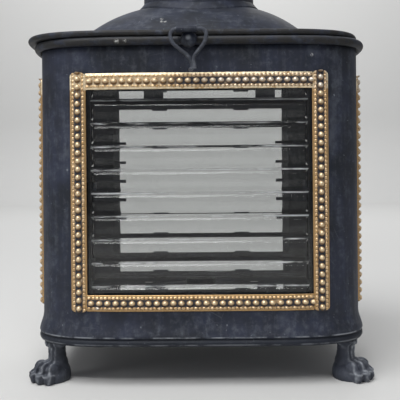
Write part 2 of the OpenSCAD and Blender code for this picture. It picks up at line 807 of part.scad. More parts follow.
// Hasp
knob_z = body_roll_z - 0.4;
knob_neck = 2;
knob_head = 3;
knob_tip = half_d + rim_reach + knob_neck + knob_head;
loop_y = knob_tip + loop_wire_d / 2 + free_gap;
loop_z = lid_z + lid_roll_r + 0.5;
barrel_r = loop_wire_d / 2 + running_clearance + tab_t;
shoulder_r = 4;
tab_shift = 1.5;

module hasp_knob() {
    cap_sphere_r = (pow(knob_d / 2, 2) + pow(knob_head, 2)) / (2 * knob_head);
    face = knob_tip - knob_head;
    color(dark_iron) difference() {
        translate([-hasp_x, 0, knob_z]) rotate([90, 0, 0]) {
            translate([0, 0, half_d + body_roll_off])
                cylinder(h = face - half_d - body_roll_off + 0.5, d = 0.55 * knob_d, $fn = round_fn);
            intersection() {
                translate([0, 0, knob_tip - cap_sphere_r]) sphere(cap_sphere_r, $fn = round_fn);
                translate([0, 0, face]) cylinder(h = knob_head + 1, d = knob_d, $fn = round_fn);
            }
        }
        plan_sweep(arc_points([body_roll_off, body_roll_z], body_roll_r, -150, 180, 330 / roll_step));
    }
}

module hasp_tab() {
    low = dome_point(0);
    strap_end = low + 0.3 * (dome_point(1) - low);
    color(zinc) translate([-hasp_x - tab_shift, 0, 0]) mirror([0, 1, 0]) difference() {
        union() {
            profile_x(
                dome_strap([strap_end, low, over_lid_roll], loop_y, loop_z + loop_wire_d / 2 + 0.1, tab_t),
                -tab_w / 2, tab_w / 2
            );
            translate([0, loop_y, loop_z]) rod_x(barrel_r, -tab_w / 2, tab_w / 2);
        }
        translate([0, loop_y, loop_z]) rod_x(loop_wire_d / 2 + running_clearance, -tab_w, tab_w);
    }
}

module hasp_loop() {
    centre = [loop_w / 2 - shoulder_r, -shoulder_r];
    toe = [loop_wire_d * 0.46, -loop_drop];
    reach = norm(toe - centre);
    leg_angle = atan2(toe[1] - centre[1], toe[0] - centre[0]) + acos(shoulder_r / reach);
    steps = 8;
    bend = arc_points(centre, shoulder_r, 90, leg_angle, steps);
    flat = concat([[centre[0] - 1, 0]], bend, [toe + [0.6, 1.4], toe - [0, 0.8], toe - [0, tail_len]]);
    path = [for (p = flat) [p[0], 0, p[1]]];
    color(dark_iron) translate([-hasp_x, -loop_y, loop_z]) {
        rod_x(loop_wire_d / 2, -centre[0], centre[0]);
        wire_sweep(path, loop_wire_d);
        mirror([1, 0, 0]) wire_sweep(path, loop_wire_d);
    }
}

body_shell();
body_rim_wire();
base_plate();
foot(-1, -1);  // foot_front_left
foot(1, -1);  // foot_front_right
foot(-1, 1);  // foot_back_left
foot(1, 1);  // foot_back_right
foot_nuts();
top_strip("front", window_w / 2);  // front_trim_top
bottom_strip("front", window_w / 2);  // front_trim_bottom
upright_strip("front", -window_w / 2 - trim_w);  // front_trim_left
upright_strip("front", window_w / 2);  // front_trim_right
top_strip("back", back_window_w / 2);  // back_trim_top
bottom_strip("back", back_window_w / 2);  // back_trim_bottom
upright_strip("back", -back_window_w / 2 - trim_w);  // back_trim_left
upright_strip("back", back_window_w / 2);  // back_trim_right
top_strip("left", side_window_w / 2);  // left_trim_top
bottom_strip("left", side_window_w / 2);  // left_trim_bottom
upright_strip("left", -side_window_w / 2 - trim_w);  // left_trim_front
upright_strip("left", side_window_w / 2);  // left_trim_back
top_strip("right", side_window_w / 2);  // right_trim_top
bottom_strip("right", side_window_w / 2);  // right_trim_bottom
upright_strip("right", -side_window_w / 2 - trim_w);  // right_trim_front
upright_strip("right", side_window_w / 2);  // right_trim_back
front_glass();
back_glass();
side_glass(-90);  // left_glass
side_glass(90);  // right_glass
glass_tabs(0, front_pane_y, half_d, front_pane_w, front_glass_t, window_w / 4, front_tab_shift);  // front_glass_tabs
glass_tabs(180, back_pane_y, half_d, back_pane_w, plain_glass_t, back_window_w / 4);  // back_glass_tabs
glass_tabs(-90, side_pane_x, half_w, side_pane_w, plain_glass_t, side_window_w / 4);  // left_glass_tabs
glass_tabs(90, side_pane_x, half_w, side_pane_w, plain_glass_t, side_window_w / 4);  // right_glass_tabs
candle_pan();
candle_socket();
candle_rivet();
hasp_knob();
hinge_body_leaf();
hinge_pin();
hinge_body_rivets();
lid_dome();
lid_rim_wire();
lid_skirt();
chimney();
chimney_collar();
cap_straps();
vent_cap();
ring_lug();
hinge_lid_leaf();
hinge_lid_rivets();
hasp_tab();
hasp_loop();
carry_ring();
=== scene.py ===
# Looks of a sheet-metal candle lantern: dark patinated sheet, beaded brass trim, fluted glass and cast lion's paws.
# Metres, in the frame's own axes: +Z up, and the front with its hasp faces -Y.
import json
import math

import bmesh
import bpy
from mathutils import Matrix, Vector, noise


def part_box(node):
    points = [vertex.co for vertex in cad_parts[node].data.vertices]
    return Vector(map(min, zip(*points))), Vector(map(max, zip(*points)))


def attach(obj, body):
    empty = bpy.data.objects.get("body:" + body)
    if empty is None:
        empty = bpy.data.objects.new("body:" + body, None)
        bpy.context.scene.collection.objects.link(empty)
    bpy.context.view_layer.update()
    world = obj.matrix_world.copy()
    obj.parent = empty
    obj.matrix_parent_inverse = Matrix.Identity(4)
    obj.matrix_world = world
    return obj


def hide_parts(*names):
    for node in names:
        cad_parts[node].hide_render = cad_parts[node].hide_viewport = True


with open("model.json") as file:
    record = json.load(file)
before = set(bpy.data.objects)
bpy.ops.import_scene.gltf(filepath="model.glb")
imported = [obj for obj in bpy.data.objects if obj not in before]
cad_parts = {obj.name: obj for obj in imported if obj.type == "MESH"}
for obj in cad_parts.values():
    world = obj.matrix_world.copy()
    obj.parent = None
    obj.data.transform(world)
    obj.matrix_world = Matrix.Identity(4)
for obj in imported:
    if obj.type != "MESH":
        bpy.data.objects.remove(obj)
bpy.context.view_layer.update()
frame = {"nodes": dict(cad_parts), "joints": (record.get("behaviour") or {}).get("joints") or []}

mm = 0.001

# Sheet and plan
sheet_t = 1 * mm
squareness = 5
half_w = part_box("base_plate")[1].x + sheet_t
half_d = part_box("base_plate")[1].y + sheet_t
base_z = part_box("base_plate")[0].z
rim_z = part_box("body_shell")[1].z
plan_steps = 320

# Window openings
trim_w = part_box("front_trim_top")[1].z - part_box("front_trim_top")[0].z
trim_high = 3.2 * mm
sill_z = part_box("front_trim_bottom")[1].z
head_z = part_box("front_trim_top")[0].z
window_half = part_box("front_trim_top")[1].x
back_window_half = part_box("back_trim_top")[1].x
side_window_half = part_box("left_trim_top")[1].y
upright_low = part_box("front_trim_left")[0].z
upright_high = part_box("front_trim_left")[1].z

# Lid
lid_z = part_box("lid_rim_wire")[0].z - sheet_t
lid_slip = 5 * mm
dome_h = 36 * mm
dome_fullness = 3
dome_squareness = 2.3
apron_share = 0.82
apron_rise = 3 * mm
dome_z = lid_z + 2 * sheet_t
chimney_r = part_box("chimney")[1].x
chimney_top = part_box("chimney")[1].z
chimney_t = 0.8 * mm
cap_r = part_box("vent_cap")[1].x
cap_h = 20 * mm
cap_fullness = 1.55
cap_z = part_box("vent_cap")[1].z - cap_h

# Places that the joints give
joint_at = {joint["name"]: Vector(joint["pos_m"]) for joint in frame["joints"]}
hinge_at = joint_at["lid_hinge"]
loop_at = joint_at["hasp_swing"]
ring_at = joint_at["ring_swing"]


# Camera, lamps and the stage

photo_px = 400
focal_px = 702
camera_place = Vector((4, -579.5, 157)) * mm
camera_yaw = math.radians(0.41)
camera_roll = math.radians(-0.5)
horizon_px = 164


def add_camera():
    data = bpy.data.cameras.new("camera")
    data.sensor_width = 36
    data.lens = data.sensor_width * focal_px / photo_px
    data.clip_start = 0.01
    data.shift_y = (horizon_px - photo_px / 2) / photo_px
    camera = bpy.data.objects.new("camera", data)
    bpy.context.scene.collection.objects.link(camera)
    turn = (
        Matrix.Rotation(camera_yaw, 4, "Z")
        @ Matrix.Rotation(math.pi / 2, 4, "X")
        @ Matrix.Rotation(camera_roll, 4, "Z")
    )
    camera.matrix_world = Matrix.Translation(camera_place) @ turn
    bpy.context.scene.camera = camera


def add_lamp(name, place, aim, size, watts, colour=(1, 1, 1)):
    data = bpy.data.lights.new(name, "AREA")
    data.shape = "RECTANGLE"
    data.size, data.size_y = size
    data.energy = watts
    data.color = colour
    lamp = bpy.data.objects.new(name, data)
    bpy.context.scene.collection.objects.link(lamp)
    lamp.location = place
    lamp.rotation_euler = (Vector(place) - Vector(aim)).to_track_quat("Z", "Y").to_euler()


def add_lamps():
    aim = (0, 0, 0.17)
    add_lamp("lamp_over", (-0.35, -0.55, 1.35), aim, (1.1, 0.7), 15)
    add_lamp("lamp_left", (-1.3, -0.9, 0.6), aim, (0.5, 1.0), 2.5)
    add_lamp("lamp_right", (1.35, -0.7, 0.7), aim, (0.5, 1.0), 0.6)
    add_lamp("lamp_back", (0.3, 1.3, 1.3), aim, (1.0, 0.6), 3)
    add_lamp("lamp_wall", (0, 1.4, 1.9), (0, 2.4, 0.5), (1.8, 0.4), 25)
    add_lamp("lamp_strip", (-0.25, -0.95, 1.15), aim, (1.3, 0.03), 5)


# Shader maths


class Value:
    """A socket of a material. Arithmetic on it adds Math nodes."""

    def __init__(self, finish, socket):
        self.finish = finish
        self.socket = socket

    def maths(self, operation, *values):
        sockets = dict(enumerate((self, *values)))
        return self.finish.node("ShaderNodeMath", {"operation": operation}, sockets)

    def __add__(self, other):
        return self.maths("ADD", other)

    def __sub__(self, other):
        return self.maths("SUBTRACT", other)

    def __rsub__(self, other):
        return self.finish.node("ShaderNodeMath", {"operation": "SUBTRACT"}, {0: other, 1: self})

    def __mul__(self, other):
        return self.maths("MULTIPLY", other)

    def __truediv__(self, other):
        return self.maths("DIVIDE", other)

    def __pow__(self, other):
        return self.maths("POWER", other)

    __radd__ = __add__
    __rmul__ = __mul__

    def least(self, other):
        return self.maths("MINIMUM", other)

    def most(self, other):
        return self.maths("MAXIMUM", other)

    def rise(self, low, high):
        """0 below low, 1 above high and smooth between; low may be the higher one."""
        return self.finish.node(
            "ShaderNodeMapRange",
            {"interpolation_type": "SMOOTHSTEP"},
            {"Value": self, "From Min": low, "From Max": high},
        )


class Finish:
    """A material under construction, with one Principled shader."""

    def __init__(self, name):
        self.material = bpy.data.materials.new(name)
        self.material.use_nodes = True
        self.tree = self.material.node_tree
        self.shader = self.tree.nodes["Principled BSDF"]
        self.place = self.node("ShaderNodeTexCoord", output="Object")

    def node(self, kind, settings=None, sockets=None, output=0):
        made = self.tree.nodes.new(kind)
        for key, value in (settings or {}).items():
            setattr(made, key, value)
        for key, value in (sockets or {}).items():
            self.fill(made.inputs[key], value)
        return Value(self, made.outputs[output])

    def fill(self, socket, value):
        if isinstance(value, Value):
            self.tree.links.new(value.socket, socket)
        else:
            socket.default_value = value

    def axis(self, index):
        return self.node("ShaderNodeSeparateXYZ", {}, {0: self.place}, index)

    def noise(self, scale, detail=4, rough=0.55, stretch=(1, 1, 1), shift=(0, 0, 0)):
        where = self.node("ShaderNodeMapping", {}, {"Vector": self.place, "Scale": stretch, "Location": shift})
        return self.node(
            "ShaderNodeTexNoise", {}, {"Vector": where, "Scale": scale, "Detail": detail, "Roughness": rough}
        )

    def cracks(self, scale, stretch=(1, 1, 1), shift=(0, 0, 0)):
        """Distance to the nearest edge of a cell, small on thin random lines."""
        where = self.node("ShaderNodeMapping", {}, {"Vector": self.place, "Scale": stretch, "Location": shift})
        return self.node(
            "ShaderNodeTexVoronoi", {"feature": "DISTANCE_TO_EDGE"}, {"Vector": where, "Scale": scale}
        )

    def near(self, place, reach):
        """1 at a place on the piece, and 0 from a reach away."""
        gap = self.node("ShaderNodeVectorMath", {"operation": "DISTANCE"}, {0: self.place, 1: place}, "Value")
        return gap.rise(reach, 0.4 * reach)

    def attribute(self, name):
        return self.node("ShaderNodeAttribute", {"attribute_name": name}, {}, "Fac")

    def mix(self, factor, first, second):
        """A colour between two colours."""
        return self.node(
            "ShaderNodeMix",
            {"data_type": "RGBA"},
            {0: factor, 6: self.opaque(first), 7: self.opaque(second)},
            2,
        )

    def opaque(self, colour):
        return colour if isinstance(colour, Value) else (*colour, 1)

    def bump(self, height, distance, strength=1.0, under=None):
        sockets = {"Height": height, "Distance": distance, "Strength": strength}
        if under:
            sockets["Normal"] = under
        return self.node("ShaderNodeBump", {}, sockets)

    def surface(self, **sockets):
        for key, value in sockets.items():
            self.fill(self.shader.inputs[key.replace("_", " ")], value)
        return self.material


# Finishes

# The coat's darkest tone, also used as painted shade on the foot bead.
sheet_dark_and_shade = (0.011, 0.014, 0.021)
sheet_mid = (0.024, 0.030, 0.053)
# The coat's pale tone, also used for the painted highlight line on the rim roll.
sheet_pale_and_glint = (0.095, 0.105, 0.125)
haze_pale = (0.13, 0.14, 0.16)
# Pale for specks and pale ridges, and for painted highlight lines and spots.
speck_and_glint_pale = (0.30, 0.32, 0.35)
# Near-black brown: for dark brushed streaks, and as painted shade on the rim rolls.
rub_and_shade_brown = (0.019, 0.018, 0.017)
chip_white = (0.62, 0.62, 0.60)
old_solder = (0.66, 0.65, 0.61)


def patina(
    name,
    worn=0.0,
    bloom=0.35,
    brushed=(1, 1, 0.1),
    bloom_z=None,
    rim_rub_and_shade_z=None,
    rim_glint_z=None,
    bead_glint_and_shade_z=None,
    ridge_pale=0.0,
    polish=0.0,
    pale=0.0,
    glint_spots=(),
    chips=(),
):
    """Dark blue-grey coat on metal: cloudy and brushed, with whitish bloom, scratches, specks and chips; rims
    darkened by rubbing and painted shade, painted highlight lines and spots, and paler ridges.
    """
    f = Finish(name)
    clouds = f.noise(16, 5, 0.6)
    blotch = f.noise(70, 6, 0.65, shift=(3, 1, 2))
    mottle = f.noise(210, 5, 0.7, shift=(1, 8, 5))
    grain = f.noise(900, 3, 0.6)
    streak = f.noise(75, 5, 0.6, stretch=brushed, shift=(5, 2, 0))
    stroke = f.noise(260, 4, 0.6, stretch=brushed, shift=(7, 3, 1))
    coat = f.mix((clouds * 0.6 + blotch * 0.4).rise(0.38, 0.62), sheet_dark_and_shade, sheet_mid)
    coat = f.mix(streak.rise(0.56, 0.40) * 0.22, coat, rub_and_shade_brown)
    coat = f.mix((mottle * 0.5 + stroke * 0.5).rise(0.48, 0.66) * 0.34, coat, sheet_pale_and_glint)
    veil = (streak * 0.4 + blotch * 0.35 + mottle * 0.25).rise(0.49, 0.66) * bloom * 0.6
    if bloom_z:
        low, high = bloom_z
        foot = f.axis(2).rise(high, low)
        veil = veil + foot * foot * (streak * 0.4 + mottle * 0.6).rise(0.42, 0.64) * bloom * 0.45
    coat = f.mix(veil.least(0.9), coat, haze_pale)
    if pale:
        coat = f.mix(pale * (0.6 + 0.8 * blotch), coat, haze_pale)
    # Darkens a band of heights on the rim rolls: partly rubbed brown, partly painted shade.
    if rim_rub_and_shade_z:
        low, high = rim_rub_and_shade_z
        rub_and_shade = f.axis(2).rise(low, high) * f.noise(120, 4, 0.6, shift=(1, 7, 3)).rise(0.34, 0.56)
        coat = f.mix(rub_and_shade * 0.9, coat, rub_and_shade_brown)
    # Painted highlight: a thin broken pale line along the top of the rim roll.
    if rim_glint_z:
        painted_glint = f.axis(2).rise(rim_glint_z, rim_glint_z + 0.8 * mm) * f.noise(90, 3, 0.5, shift=(2, 2, 7)).rise(0.3, 0.5)
        coat = f.mix(painted_glint * 0.3, coat, sheet_pale_and_glint)
    # Painted shade darkens the foot bead below a height, and two broken pale lines along it are painted highlights.
    if bead_glint_and_shade_z:
        broken = f.noise(70, 4, 0.6, shift=(3, 3, 9)).rise(0.40, 0.56)
        roll = f.axis(2).rise(bead_glint_and_shade_z - 0.6 * mm, bead_glint_and_shade_z - 1.2 * mm)
        coat = f.mix(roll * 0.8, coat, sheet_dark_and_shade)
        for level, strength in ((bead_glint_and_shade_z, 0.75), (bead_glint_and_shade_z - 5.2 * mm, 0.4)):
            line = f.axis(2).rise(level - 0.6 * mm, level) * f.axis(2).rise(level + 1.0 * mm, level + 0.3 * mm)
            coat = f.mix(line * broken * strength, coat, speck_and_glint_pale)
    scratch_a = f.cracks(26, stretch=(1, 1, 5), shift=(4, 4, 1)).rise(0.010, 0.002)
    scratch_b = f.cracks(22, stretch=(4, 4, 1), shift=(9, 2, 6)).rise(0.008, 0.002)
    patchy = f.noise(38, 3, 0.5, shift=(8, 8, 1)).rise(0.56, 0.68)
    coat = f.mix((scratch_a + scratch_b) * patchy * 0.35, coat, sheet_pale_and_glint)
    specks = f.noise(420, 2, 0.5, shift=(2, 5, 8)).rise(0.72, 0.78)
    coat = f.mix(specks * (0.25 + 0.5 * worn), coat, speck_and_glint_pale)
    # Paler on the raised ridges of the paws: tendons, knuckle line and leaf.
    if ridge_pale:
        ridge = f.attribute("ridge")
        coat = f.mix((ridge * ridge_pale * blotch.rise(0.3, 0.6)).least(0.9), coat, speck_and_glint_pale)
    # Painted highlights: soft pale spots, such as on the knob's crown.
    for place, reach in glint_spots:
        coat = f.mix(f.near(place, reach) * (0.35 + 0.6 * blotch), coat, speck_and_glint_pale)
    for place, reach in chips:
        chip = f.near(place, reach) * f.noise(700, 3, 0.6, shift=(4, 1, 1)).rise(0.40, 0.60)
        coat = f.mix(chip * 0.75, coat, chip_white)
    dents = f.bump(f.noise(42, 3, 0.5, shift=(6, 1, 4)), 0.9 * mm, 0.5)
    skin = f.bump(blotch * 0.6 + grain * 0.4, 0.18 * mm, 0.5, dents)
    rough = (0.46 - polish) + 0.22 * blotch + 0.2 * veil.least(1)
    f.surface(Specular_IOR_Level=0.3, Metallic=0.15)
    return f.surface(Base_Color=coat, Roughness=rough, Normal=skin)


def gilded_brass():
    """Pressed brass: gilt left on the upper left, elsewhere dark dirt in the hollows, with painted highlights on the
    bead tops and edges and painted shade under the large beads.
    """
    f = Finish("pressed_brass")
    hollow = f.attribute("hollow")
    relief = f.attribute("relief")
    edge = f.attribute("edge")
    shade = f.attribute("shade")
    wear = f.noise(60, 4, 0.6)
    fine = f.noise(420, 3, 0.6)
    above = f.axis(2).rise(head_z - 1 * mm, head_z + 1 * mm)
    gold = f.mix(fine.rise(0.35, 0.7), (0.50, 0.32, 0.15), (0.80, 0.60, 0.37))
    # Painted highlight: pale gold on the tops of the beads.
    gold = f.mix(relief.rise(0.45, 0.9) * 0.55, gold, (0.93, 0.78, 0.54))
    # Edge flanges: pale on the top strip as a painted highlight, brown below it as painted shade.
    rim = f.mix(above, (0.42, 0.25, 0.10), (0.96, 0.84, 0.62))
    gold = f.mix(edge * fine.rise(0.3, 0.55) * 0.8, gold, rim)
    gilt = f.axis(0).rise(-10 * mm, -35 * mm) * above
    gold = f.mix(gilt * relief.rise(0.42, 0.24) * 0.6, gold, (0.95, 0.80, 0.56))
    bare = f.axis(0).rise(-20 * mm, 20 * mm) * above
    gold = f.mix(bare * relief.rise(0.35, 0.6) * 0.5, gold, (0.80, 0.78, 0.74))
    # Painted shade: brown on the lower side of each large bead.
    gold = f.mix(shade * 0.85, gold, (0.17, 0.09, 0.04))
    kept = (gilt * 0.75).most(wear.rise(0.52, 0.70) * 0.7)
    dirt = hollow * (1 - kept)
    tone = f.mix((dirt + fine.rise(0.66, 0.8) * 0.2).least(1), gold, (0.030, 0.033, 0.045))
    for place, reach in solder_spots:
        tone = f.mix(f.near(place, reach) * fine.rise(0.3, 0.5), tone, old_solder)
    rough = 0.34 + 0.26 * dirt + 0.14 * fine
    skin = f.bump(fine + wear * 0.5, 0.12 * mm, 0.5)
    return f.surface(Base_Color=tone, Roughness=rough, Metallic=(0.85 - dirt * 0.65), Normal=skin)


def glass(name, tint, rough):
    f = Finish(name)
    smear = f.noise(30, 4, 0.6, stretch=(1, 1, 3))
    skin = f.bump(f.noise(22, 2, 0.5), 0.15 * mm, 0.35)
    f.surface(Base_Color=(*tint, 1), Roughness=rough + 0.03 * smear.rise(0.5, 0.8), Normal=skin)
    return f.surface(IOR=1.5, Transmission_Weight=1.0)


def fluted_glass():
    """Pressed glass with painted highlights: thin broken pale lines along the ridges, strongest towards their ends.
    """
    f = Finish("fluted_glass")
    skin = f.bump(f.noise(22, 2, 0.5), 0.1 * mm, 0.12)
    f.surface(Base_Color=(0.67, 0.68, 0.675, 1), Roughness=0.0, Normal=skin, IOR=1.5, Transmission_Weight=1.0)
    # Painted highlights: a pale rough shader mixed in along the ridge lines.
    glint_shader = f.node("ShaderNodeBsdfPrincipled", {}, {"Base Color": (0.95, 0.97, 1, 1), "Roughness": 0.25})
    aside = f.axis(0).maths("ABSOLUTE")
    broken = f.noise(40, 4, 0.6, stretch=(1, 1, 4), shift=(2, 6, 3)).rise(0.36, 0.60)
    line = f.attribute("painted_glint") * broken * (0.6 + 1.0 * aside.rise(25 * mm, 60 * mm))
    mixed = f.node("ShaderNodeMixShader", {}, {0: line.least(1), 1: Value(f, f.shader.outputs[0]), 2: glint_shader})
    f.fill(f.tree.nodes["Material Output"].inputs["Surface"], mixed)
    return f.material


def dull_steel():
    f = Finish("dull_steel")
    blotch = f.noise(260, 4, 0.6)
    tone = f.mix(blotch.rise(0.35, 0.65), (0.16, 0.16, 0.165), (0.34, 0.34, 0.34))
    return f.surface(Base_Color=tone, Roughness=0.35 + 0.25 * blotch, Metallic=0.9)


rim_chips = (
    (Vector((-57, -90, 243.2)) * mm, 2.2 * mm),
    (Vector((-51.5, -90, 243.4)) * mm, 2.0 * mm),
    (Vector((80, -84, 233.6)) * mm, 1.6 * mm),
)
tab_chips = (
    (Vector((-1.8, -98, 252.4)) * mm, 1.8 * mm),
    (Vector((-7, -98, 252.4)) * mm, 1.5 * mm),
)
# A soft painted highlight on the knob's crown.
knob_glint = ((Vector((-7.0, -97.5, 244.6)) * mm, 3.0 * mm),)
lid_scratch = (
    (Vector((-27.5, -58, 265.2)) * mm, 1.7 * mm),
    (Vector((-27.3, -60.3, 262.8)) * mm, 1.5 * mm),
    (Vector((-24.6, -60.5, 262.6)) * mm, 1.4 * mm),
)
solder_spots = (
    (Vector((-83.8, -89, 221.4)) * mm, 3.4 * mm),
    (Vector((-72.8, -88, 55.7)) * mm, 3.2 * mm),
)

finish = {
    "body": patina(
        "body_patina",
        worn=0.3,
        bloom=0.5,
        bloom_z=(base_z, base_z + 42 * mm),
        # painted shade, with some rubbing, darkens the body's rim roll
        rim_rub_and_shade_z=(rim_z - 7.2 * mm, rim_z - 5.2 * mm),
        # painted highlight line along the top of the rim roll
        rim_glint_z=rim_z - 2 * mm,
        # painted highlight lines and painted shade on the foot bead
        bead_glint_and_shade_z=base_z + 6.7 * mm,
        chips=rim_chips,
    ),
    "lid": patina(
        "lid_patina",
        worn=0.4,
        bloom=0.8,
        brushed=(0.25, 0.25, 2),
        pale=0.05,
        # painted shade darkens the lid's rim roll
        rim_rub_and_shade_z=(dome_z + 3.2 * mm, dome_z + 1.6 * mm),
        chips=lid_scratch,
    ),
    "plain": patina("plain_patina", worn=0.2, bloom=0.3),
    "tab": patina("tab_patina", worn=0.4, bloom=0.4, chips=tab_chips),
    "knob": patina("knob_patina", worn=0.4, bloom=0.6, polish=0.2, glint_spots=knob_glint),
    "wire": patina("wire_patina", worn=0.4, bloom=1.4, brushed=(1, 1, 1), pale=0.2),
    "cast": patina("cast_patina", worn=0.5, bloom=0.6, ridge_pale=0.9, pale=0.22),
    "brass": gilded_brass(),
    "fluted_glass": fluted_glass(),
    "pane_glass": glass("pane_glass", (0.82, 0.83, 0.825), 0.0),
    "steel": dull_steel(),
}


# Mesh helpers


def add_piece(name, bm, body, material, replaces=(), crease=40, inside_out=False):
    """Turns a bmesh into a smooth-shaded piece that rides on a body and stands for CAD nodes."""
    mesh = bpy.data.meshes.new(name)
    bm.to_mesh(mesh)
    bm.free()
    mesh.materials.append(finish[material])
    mesh.shade_smooth()
    mesh.set_sharp_from_angle(angle=math.radians(crease))
    piece = bpy.data.objects.new(name, mesh)
    bpy.context.scene.collection.objects.link(piece)
    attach(piece, body)
    if replaces:
        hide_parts(*replaces)
    return piece


def baked(piece):
    """A new bmesh of a piece with its modifiers applied."""
    bpy.context.view_layer.update()
    seen = piece.evaluated_get(bpy.context.evaluated_depsgraph_get())
    bm = bmesh.new()
    bm.from_mesh(seen.to_mesh())
    seen.to_mesh_clear()
    return bm


def arc(centre, radius, start, end, steps):
    """Points on an arc in a profile, from one angle to another in degrees."""
    angles = [math.radians(start + (end - start) * i / steps) for i in range(steps + 1)]
    return [(centre[0] + radius * math.cos(a), centre[1] + radius * math.sin(a)) for a in angles]


def spun(profile, steps, closed=False):
    """A profile of (distance, height) points, spun a full turn about Z."""
    bm = bmesh.new()
    verts = [bm.verts.new((x, 0, z)) for x, z in profile]
    edges = [bm.edges.new(pair) for pair in zip(verts, verts[1:])]
    if closed:
        edges.append(bm.edges.new((verts[-1], verts[0])))
    bmesh.ops.spin(
        bm, geom=verts + edges, axis=(0, 0, 1), cent=(0, 0, 0), angle=math.tau, steps=steps, use_merge=True
    )
    bmesh.ops.remove_doubles(bm, verts=bm.verts, dist=1e-7)
    bmesh.ops.recalc_face_normals(bm, faces=bm.faces)
    return bm


def sign_power(value, power):
    return math.copysign(abs(value) ** power, value)


def ring_squareness(share):
    """The dome's contours are nearly ellipses, and the apron's grow as square as the body towards the rim."""
    past = max(0.0, share - apron_share) / (1 - apron_share)
    return dome_squareness + (squareness - dome_squareness) * past**1.5


def plan_shares(turn, power=squareness):
    """The plan's point in the direction of turn, as shares of half its width and half its depth."""
    across, deep = math.cos(turn), math.sin(turn)
    reach = (abs(across) ** power + abs(deep) ** power) ** (-1 / power)
    return across * reach, deep * reach


def plan_spot(turn, off, share=1.0):
    """A point of the plan, or of a lid's contour inside it, a distance off."""
    across, deep = plan_shares(turn)
    normal = Vector((sign_power(across, squareness - 1) / half_w, sign_power(deep, squareness - 1) / half_d))
    across, deep = plan_shares(turn, ring_squareness(share))
    return Vector((share * half_w * across, share * half_d * deep)) + off * normal.normalized()


def plan_share(x, y):
    """How far out a point of the lid lies, as a share of the wall's distance."""
    share = 0.5
    for _ in range(10):
        power = ring_squareness(share)
        share += 0.5 * ((abs(x / half_w) ** power + abs(y / half_d) ** power) ** (1 / power) - share)
    return share


def dome_height(share):
    """The lid's height: a nearly level apron, a soft bend and then the dome."""
    soft = 1.4 * mm
    apron = apron_rise * min(1.0, (1 - share) / (1 - apron_share))
    rise = (dome_h - apron_rise) * (1 - (share / apron_share) ** dome_fullness)
    return dome_z + apron + (rise + math.hypot(rise, soft)) / 2


def round_the_plan(bm):
    """Carries a profile spun at a distance of 1 out to the plan; what is past 1 lies off the wall."""
    for vert in bm.verts:
        spot = plan_spot(math.atan2(vert.co.y, vert.co.x), math.hypot(vert.co.x, vert.co.y) - 1)
        vert.co.xy = spot


# Body


def dented(place, depth, scale):
    """How far hand work has pushed the sheet in at a place."""
    return depth * (0.5 + 0.5 * noise.noise(place * scale))


rim_wire_r = 2.1 * mm
rim_roll_z = rim_z - rim_wire_r - sheet_t


def make_body_shell():
    """The body's foot roll, flare and wall, with four openings."""
    bead_r = 2.6 * mm
    bead_centre = (1 + 0.4 * mm, base_z + bead_r)
    flare, flare_low, flare_top = 3.1 * mm, base_z + 6.9 * mm, base_z + 20 * mm
    steps = 14
    rise = [i / steps for i in range(steps + 1)]
    profile = [(1 - sheet_t, base_z)]
    profile += arc(bead_centre, bead_r, -90, 45, 12)
    groove = [(1.9, 4.9), (1.75, 5.35), (2.1, 5.8), (2.8, 6.2)]
    profile += [(1 + off * mm, base_z + high * mm) for off, high in groove]
    profile += [(1 + flare * (1 - s**1.5 * (2.5 - 1.5 * s)), flare_low + (flare_top - flare_low) * s) for s in rise]
    profile += [(1, flare_top + (rim_roll_z - flare_top) * i / 24) for i in range(1, 25)]
    bm = spun(profile, plan_steps)
    round_the_plan(bm)
    face_out(bm)
    for axis, half in ((0, window_half), (0, back_window_half), (1, side_window_half)):
        for end in (-half, half):
            where = Vector((0, 0, 0))
            where[axis] = end
            cut_plane(bm, where, axis)
    for level in (sill_z, head_z):
        cut_plane(bm, Vector((0, 0, level)), 2)
    holes = [face for face in bm.faces if in_a_window(face.calc_center_median())]
    bmesh.ops.delete(bm, geom=holes, context="FACES")
    shell = add_piece("body_sheet", bm, "case", "body", ["body_shell"])
    wall = shell.modifiers.new("wall", "SOLIDIFY")
    wall.thickness = sheet_t
    wall.offset = -1


def make_rim_curl():
    """The top edge of the body's sheet, curled outwards over its wire."""
    centre = (1 + rim_wire_r, rim_roll_z)
    outer = arc(centre, rim_wire_r + sheet_t, 180, -110, 28)
    bm = spun(outer + arc(centre, rim_wire_r, -110, 180, 28), plan_steps, closed=True)
    round_the_plan(bm)
    bmesh.ops.recalc_face_normals(bm, faces=bm.faces)
    add_piece("rim_curl", bm, "case", "body")


def face_out(bm):
    """Turns an open shell so that its outermost face points outwards."""
    bm.normal_update()
    outermost = max(bm.faces, key=lambda face: face.calc_center_median().x)
    if outermost.normal.x < 0:
        bmesh.ops.reverse_faces(bm, faces=bm.faces[:])


def cut_plane(bm, where, axis):
    normal = Vector((0, 0, 0))
    normal[axis] = 1
    everything = bm.verts[:] + bm.edges[:] + bm.faces[:]
    bmesh.ops.bisect_plane(bm, geom=everything, dist=1e-6, plane_co=where, plane_no=normal)


def in_a_window(place):
    level = sill_z < place.z < head_z
    half = window_half if place.y < 0 else back_window_half
    wide = abs(place.x) < half and abs(place.y) > 0.7 * half_d
    deep = abs(place.y) < side_window_half and abs(place.x) > 0.7 * half_w
    return level and (wide or deep)


# Trim: a flat grid pressed into rows of beads, then bent on to a wall

grid_pitch = 0.36 * mm
bead_pitch = 5.8 * mm
small_pitch = 2.9 * mm
trim_edge = 0.8 * mm
trim_root = -0.4 * mm


def bead(along, across, pitch, long_r, wide_r):
    """Height share of a row of round beads."""
    place = (along / pitch) % 1 - 0.5
    return math.sqrt(max(0.0, 1 - (place * pitch / long_r) ** 2 - (across / wide_r) ** 2))


